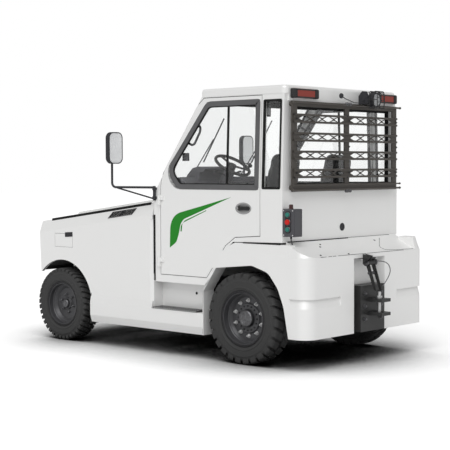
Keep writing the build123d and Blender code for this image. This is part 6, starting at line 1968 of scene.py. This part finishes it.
@dataclass
class Pad:
    """A stuffed seat part, blown up by the cloth solver from a slightly smaller block."""

    name: str
    replaced: str
    fill: float = 0.6
    voxel: float = 0.007
    pressure: float = 4.0
    cap: float = 0.024
    quick_swell: float = 0.012
    frames: int = 20

    def remeshed(self, source: Maker) -> bpy.types.Object:
        """Even mesh of the starting block, in metres."""
        block = source.placed(f"{self.name}_block")
        remesh = block.modifiers.new("even_mesh", "REMESH")
        remesh.mode, remesh.voxel_size = "VOXEL", self.voxel
        even = bpy.data.meshes.new_from_object(block.evaluated_get(bpy.context.evaluated_depsgraph_get()))
        bpy.data.objects.remove(block)
        return linked(f"{self.name}_even", even)

    def blown(self, source: Maker) -> Maker:
        """Swollen form of a block.

        Args:
            source: the block, a little smaller than the pad.

        Returns:
            A maker with the swollen mesh.
        """
        piece = self.remeshed(source)
        rest = [vert.co.copy() for vert in piece.data.vertices]
        cloth = piece.modifiers.new("pressure", "CLOTH")
        cloth.settings.use_pressure = True
        cloth.settings.uniform_pressure_force = self.pressure
        cloth.settings.effector_weights.gravity = 0.0
        cloth.settings.quality = 4
        for step in range(1, self.frames + 1):
            bpy.context.scene.frame_set(step)
        solved = piece.evaluated_get(bpy.context.evaluated_depsgraph_get())
        moved = [vert.co.copy() for vert in solved.data.vertices]
        bpy.context.scene.frame_set(1)
        piece.modifiers.remove(cloth)
        for vert, start, end in zip(piece.data.vertices, rest, moved):
            step = end - start
            vert.co = start + (step.normalized() * self.cap if step.length > self.cap else step)
        maker = Maker()
        maker.mesh.from_mesh(piece.data)
        bmesh.ops.scale(maker.mesh, vec=Vector((1 / MM, 1 / MM, 1 / MM)), verts=maker.mesh.verts)
        bpy.data.objects.remove(piece)
        log.info("%s: blown up", self.name)
        return maker


@dataclass
class Seats:
    """Two seats: stuffed cushions and backrests, with piping and sewn lines."""

    middles: Flat = (400.0, -400.0)
    back_foot: Point = (-960.3, 0.0, 1450.0)
    tilt: float = math.radians(12.0)
    piping_r: float = 4.5
    seam_r: float = 2.6

    def back_place(self, u: float, v: float, out: float = 0.0) -> Point:
        """Point on the backrest: across, up its front plane and forward of it."""
        x, y, z = self.back_foot
        sin_t, cos_t = math.sin(self.tilt), math.cos(self.tilt)
        return x - v * sin_t + out * cos_t, y + u, z + v * cos_t + out * sin_t

    def cushion_block(self) -> Maker:
        """Starting block of a cushion, centred on the tractor's middle plane."""
        outline = rounded([(-944, -212, 50), (-516, -212, 62), (-516, 212, 62), (-944, 212, 50)])
        return Maker().domed(outline, facing("z", 0.0), ((1338, 16), (1350, 4), (1396, 0), (1424, 5), (1434, 18)))

    def back_block(self) -> Maker:
        """Starting block of a backrest, centred on the tractor's middle plane."""
        outline = rounded([
            (-206, -96, 46), (206, -96, 46), (196, 300, 300), (168, 494, 90), (-168, 494, 90), (-196, 300, 300)])
        return Maker().domed(outline, self.back_place, ((-98, 18), (-84, 4), (-50, 0), (-22, 5), (-10, 16)))

    def laid(
        self, tree: BVHTree, rows: Sequence[Sequence[Point]], towards: Point, radius: float, closed: bool
    ) -> Maker:
        """Cords laid where rays meet a pad.

        Args:
            tree: the pad's surface.
            rows: where the rays of each cord begin.
            towards: the rays' direction.
            radius: the cords' radius.
            closed: whether each cord closes on itself.

        Returns:
            A maker with the cords.
        """
        maker = Maker()
        for row in rows:
            hits = [tree.ray_cast(Vector(start), Vector(towards))[:2] for start in row]
            path = [hit + normal * 0.4 for hit, normal in hits if hit is not None]
            if len(path) > 3:
                maker.tube(path, radius, 8, closed=closed)
        return maker

    def cords(
        self, tree: BVHTree, outline: Outline, rows: Sequence[Sequence[Flat]], place: Place,
        towards: Point,
    ) -> tuple[Maker, Maker]:
        """Piping along an outline and sewn lines across a pad.

        Args:
            tree: the pad's surface.
            outline: the piping's line.
            rows: the sewn lines.
            place: puts flat coordinates where the rays begin.
            towards: the rays' direction.

        Returns:
            The piping and the sewn lines.
        """
        dense = [
            (a[0] + (b[0] - a[0]) * k / 4, a[1] + (b[1] - a[1]) * k / 4)
            for a, b in zip(outline, [*outline[1:], outline[0]]) for k in range(4)]
        piping = self.laid(tree, [[place(u, v, 200) for u, v in dense]], towards, self.piping_r, True)
        lines = [[place(u, v, 200) for u, v in row] for row in rows]
        return piping, self.laid(tree, lines, towards, self.seam_r, False)

    def cushion_cords(self, tree: BVHTree) -> tuple[Maker, Maker]:
        """Piping round a cushion's top and sewn lines across it."""
        outline = rounded([(-925, -196, 60), (-535, -196, 70), (-535, 196, 70), (-925, 196, 60)], 8)
        rows = [[(x, y) for y in spaced(-150, 150, 25)] for x in (-840, -740, -640)]
        rows += [[(x, y) for x in spaced(-905, -555, 25)] for y in (-150, 150)]
        return self.cords(tree, outline, rows, facing("z", 1400.0), DOWNWARDS)

    def back_cords(self, tree: BVHTree) -> tuple[Maker, Maker]:
        """Piping round a backrest's front and sewn lines across it."""
        outline = rounded([
            (-186, -76, 50), (186, -76, 50), (178, 300, 200), (150, 474, 90), (-150, 474, 90), (-178, 300, 200)], 8)
        rows = [[(u, v) for u in spaced(-140, 140, 25)] for v in (60, 170, 280, 380)]
        rows += [[(u, v) for v in spaced(-60, 420, 31)] for u in (-140, 140)]
        return self.cords(
            tree, outline, rows, self.back_place, (-math.cos(self.tilt), 0, -math.sin(self.tilt)))

    def build_part(self, pad: Pad, block: Maker, cords: Callable[[BVHTree], tuple[Maker, Maker]]) -> None:
        """Blow up one part and place it with its cords on both seats."""
        blown = pad.blown(block)
        piping, seams = cords(BVHTree.FromBMesh(blown.mesh))
        for hand, shift in zip(("left", "right"), self.middles):
            piece = blown.shifted(shift).publish(
                f"{pad.name}_{hand}", "seat_cover", SEAT_VINYL, smoother=1, smooth=180, replaces=[pad.replaced])
            for label, cord, finish in (("piping", piping, SEAT_PIPING), ("seams", seams, GAP_RUBBER)):
                cord.shifted(shift).publish(f"{pad.name}_{label}_{hand}", "seat_cover", finish)
        for maker in (blown, piping, seams):
            maker.mesh.free()

    def build(self) -> None:
        """Build both seats, with their slides and recliners."""
        self.build_part(Pad("seat_cushion", "seat_cushions"), self.cushion_block(), self.cushion_cords)
        self.build_part(Pad("seat_backrest", "seat_backrests"), self.back_block(), self.back_cords)
        hardware = Maker()
        for y in self.middles:
            for hand in (-1, 1):
                rail = y + hand * 150
                hardware.box((-900, -560), (rail - 14, rail + 14), (1150.5, 1172))
                hardware.plate(
                    [(-960, 1352), (-900, 1340), (-890, 1380), (-985, 1500), (-1012, 1490)],
                    facing("y", y + hand * 232), -4.0, 4.0)
                hardware.bolt((-930, y + hand * 236, 1372), (0, hand, 0), 11, 9)
            bar = ((-560, -90, 0), (-500, -90, 20), (-500, 90, 20), (-560, 90, 0))
            hardware.tube(bent([((x, y + shift, 1180), radius) for x, shift, radius in bar]), 6)
        hardware.publish("seat_slides_and_recliners", "seat_cover", DARK_STEEL, bevel=1.5)


# ---- main ----


def main() -> None:
    """Build the scene, piece by piece."""
    logging.basicConfig(level=logging.INFO, format="%(name)s: %(message)s")
    Studio().build()
    dress_nodes()
    build_wheels()
    for group in (Glazed(), DoorTrim(), Flanks(), RearTrim(), FrontTrim(), CabInside(), Seats()):
        group.build()


if __name__ == "__main__":
    main()
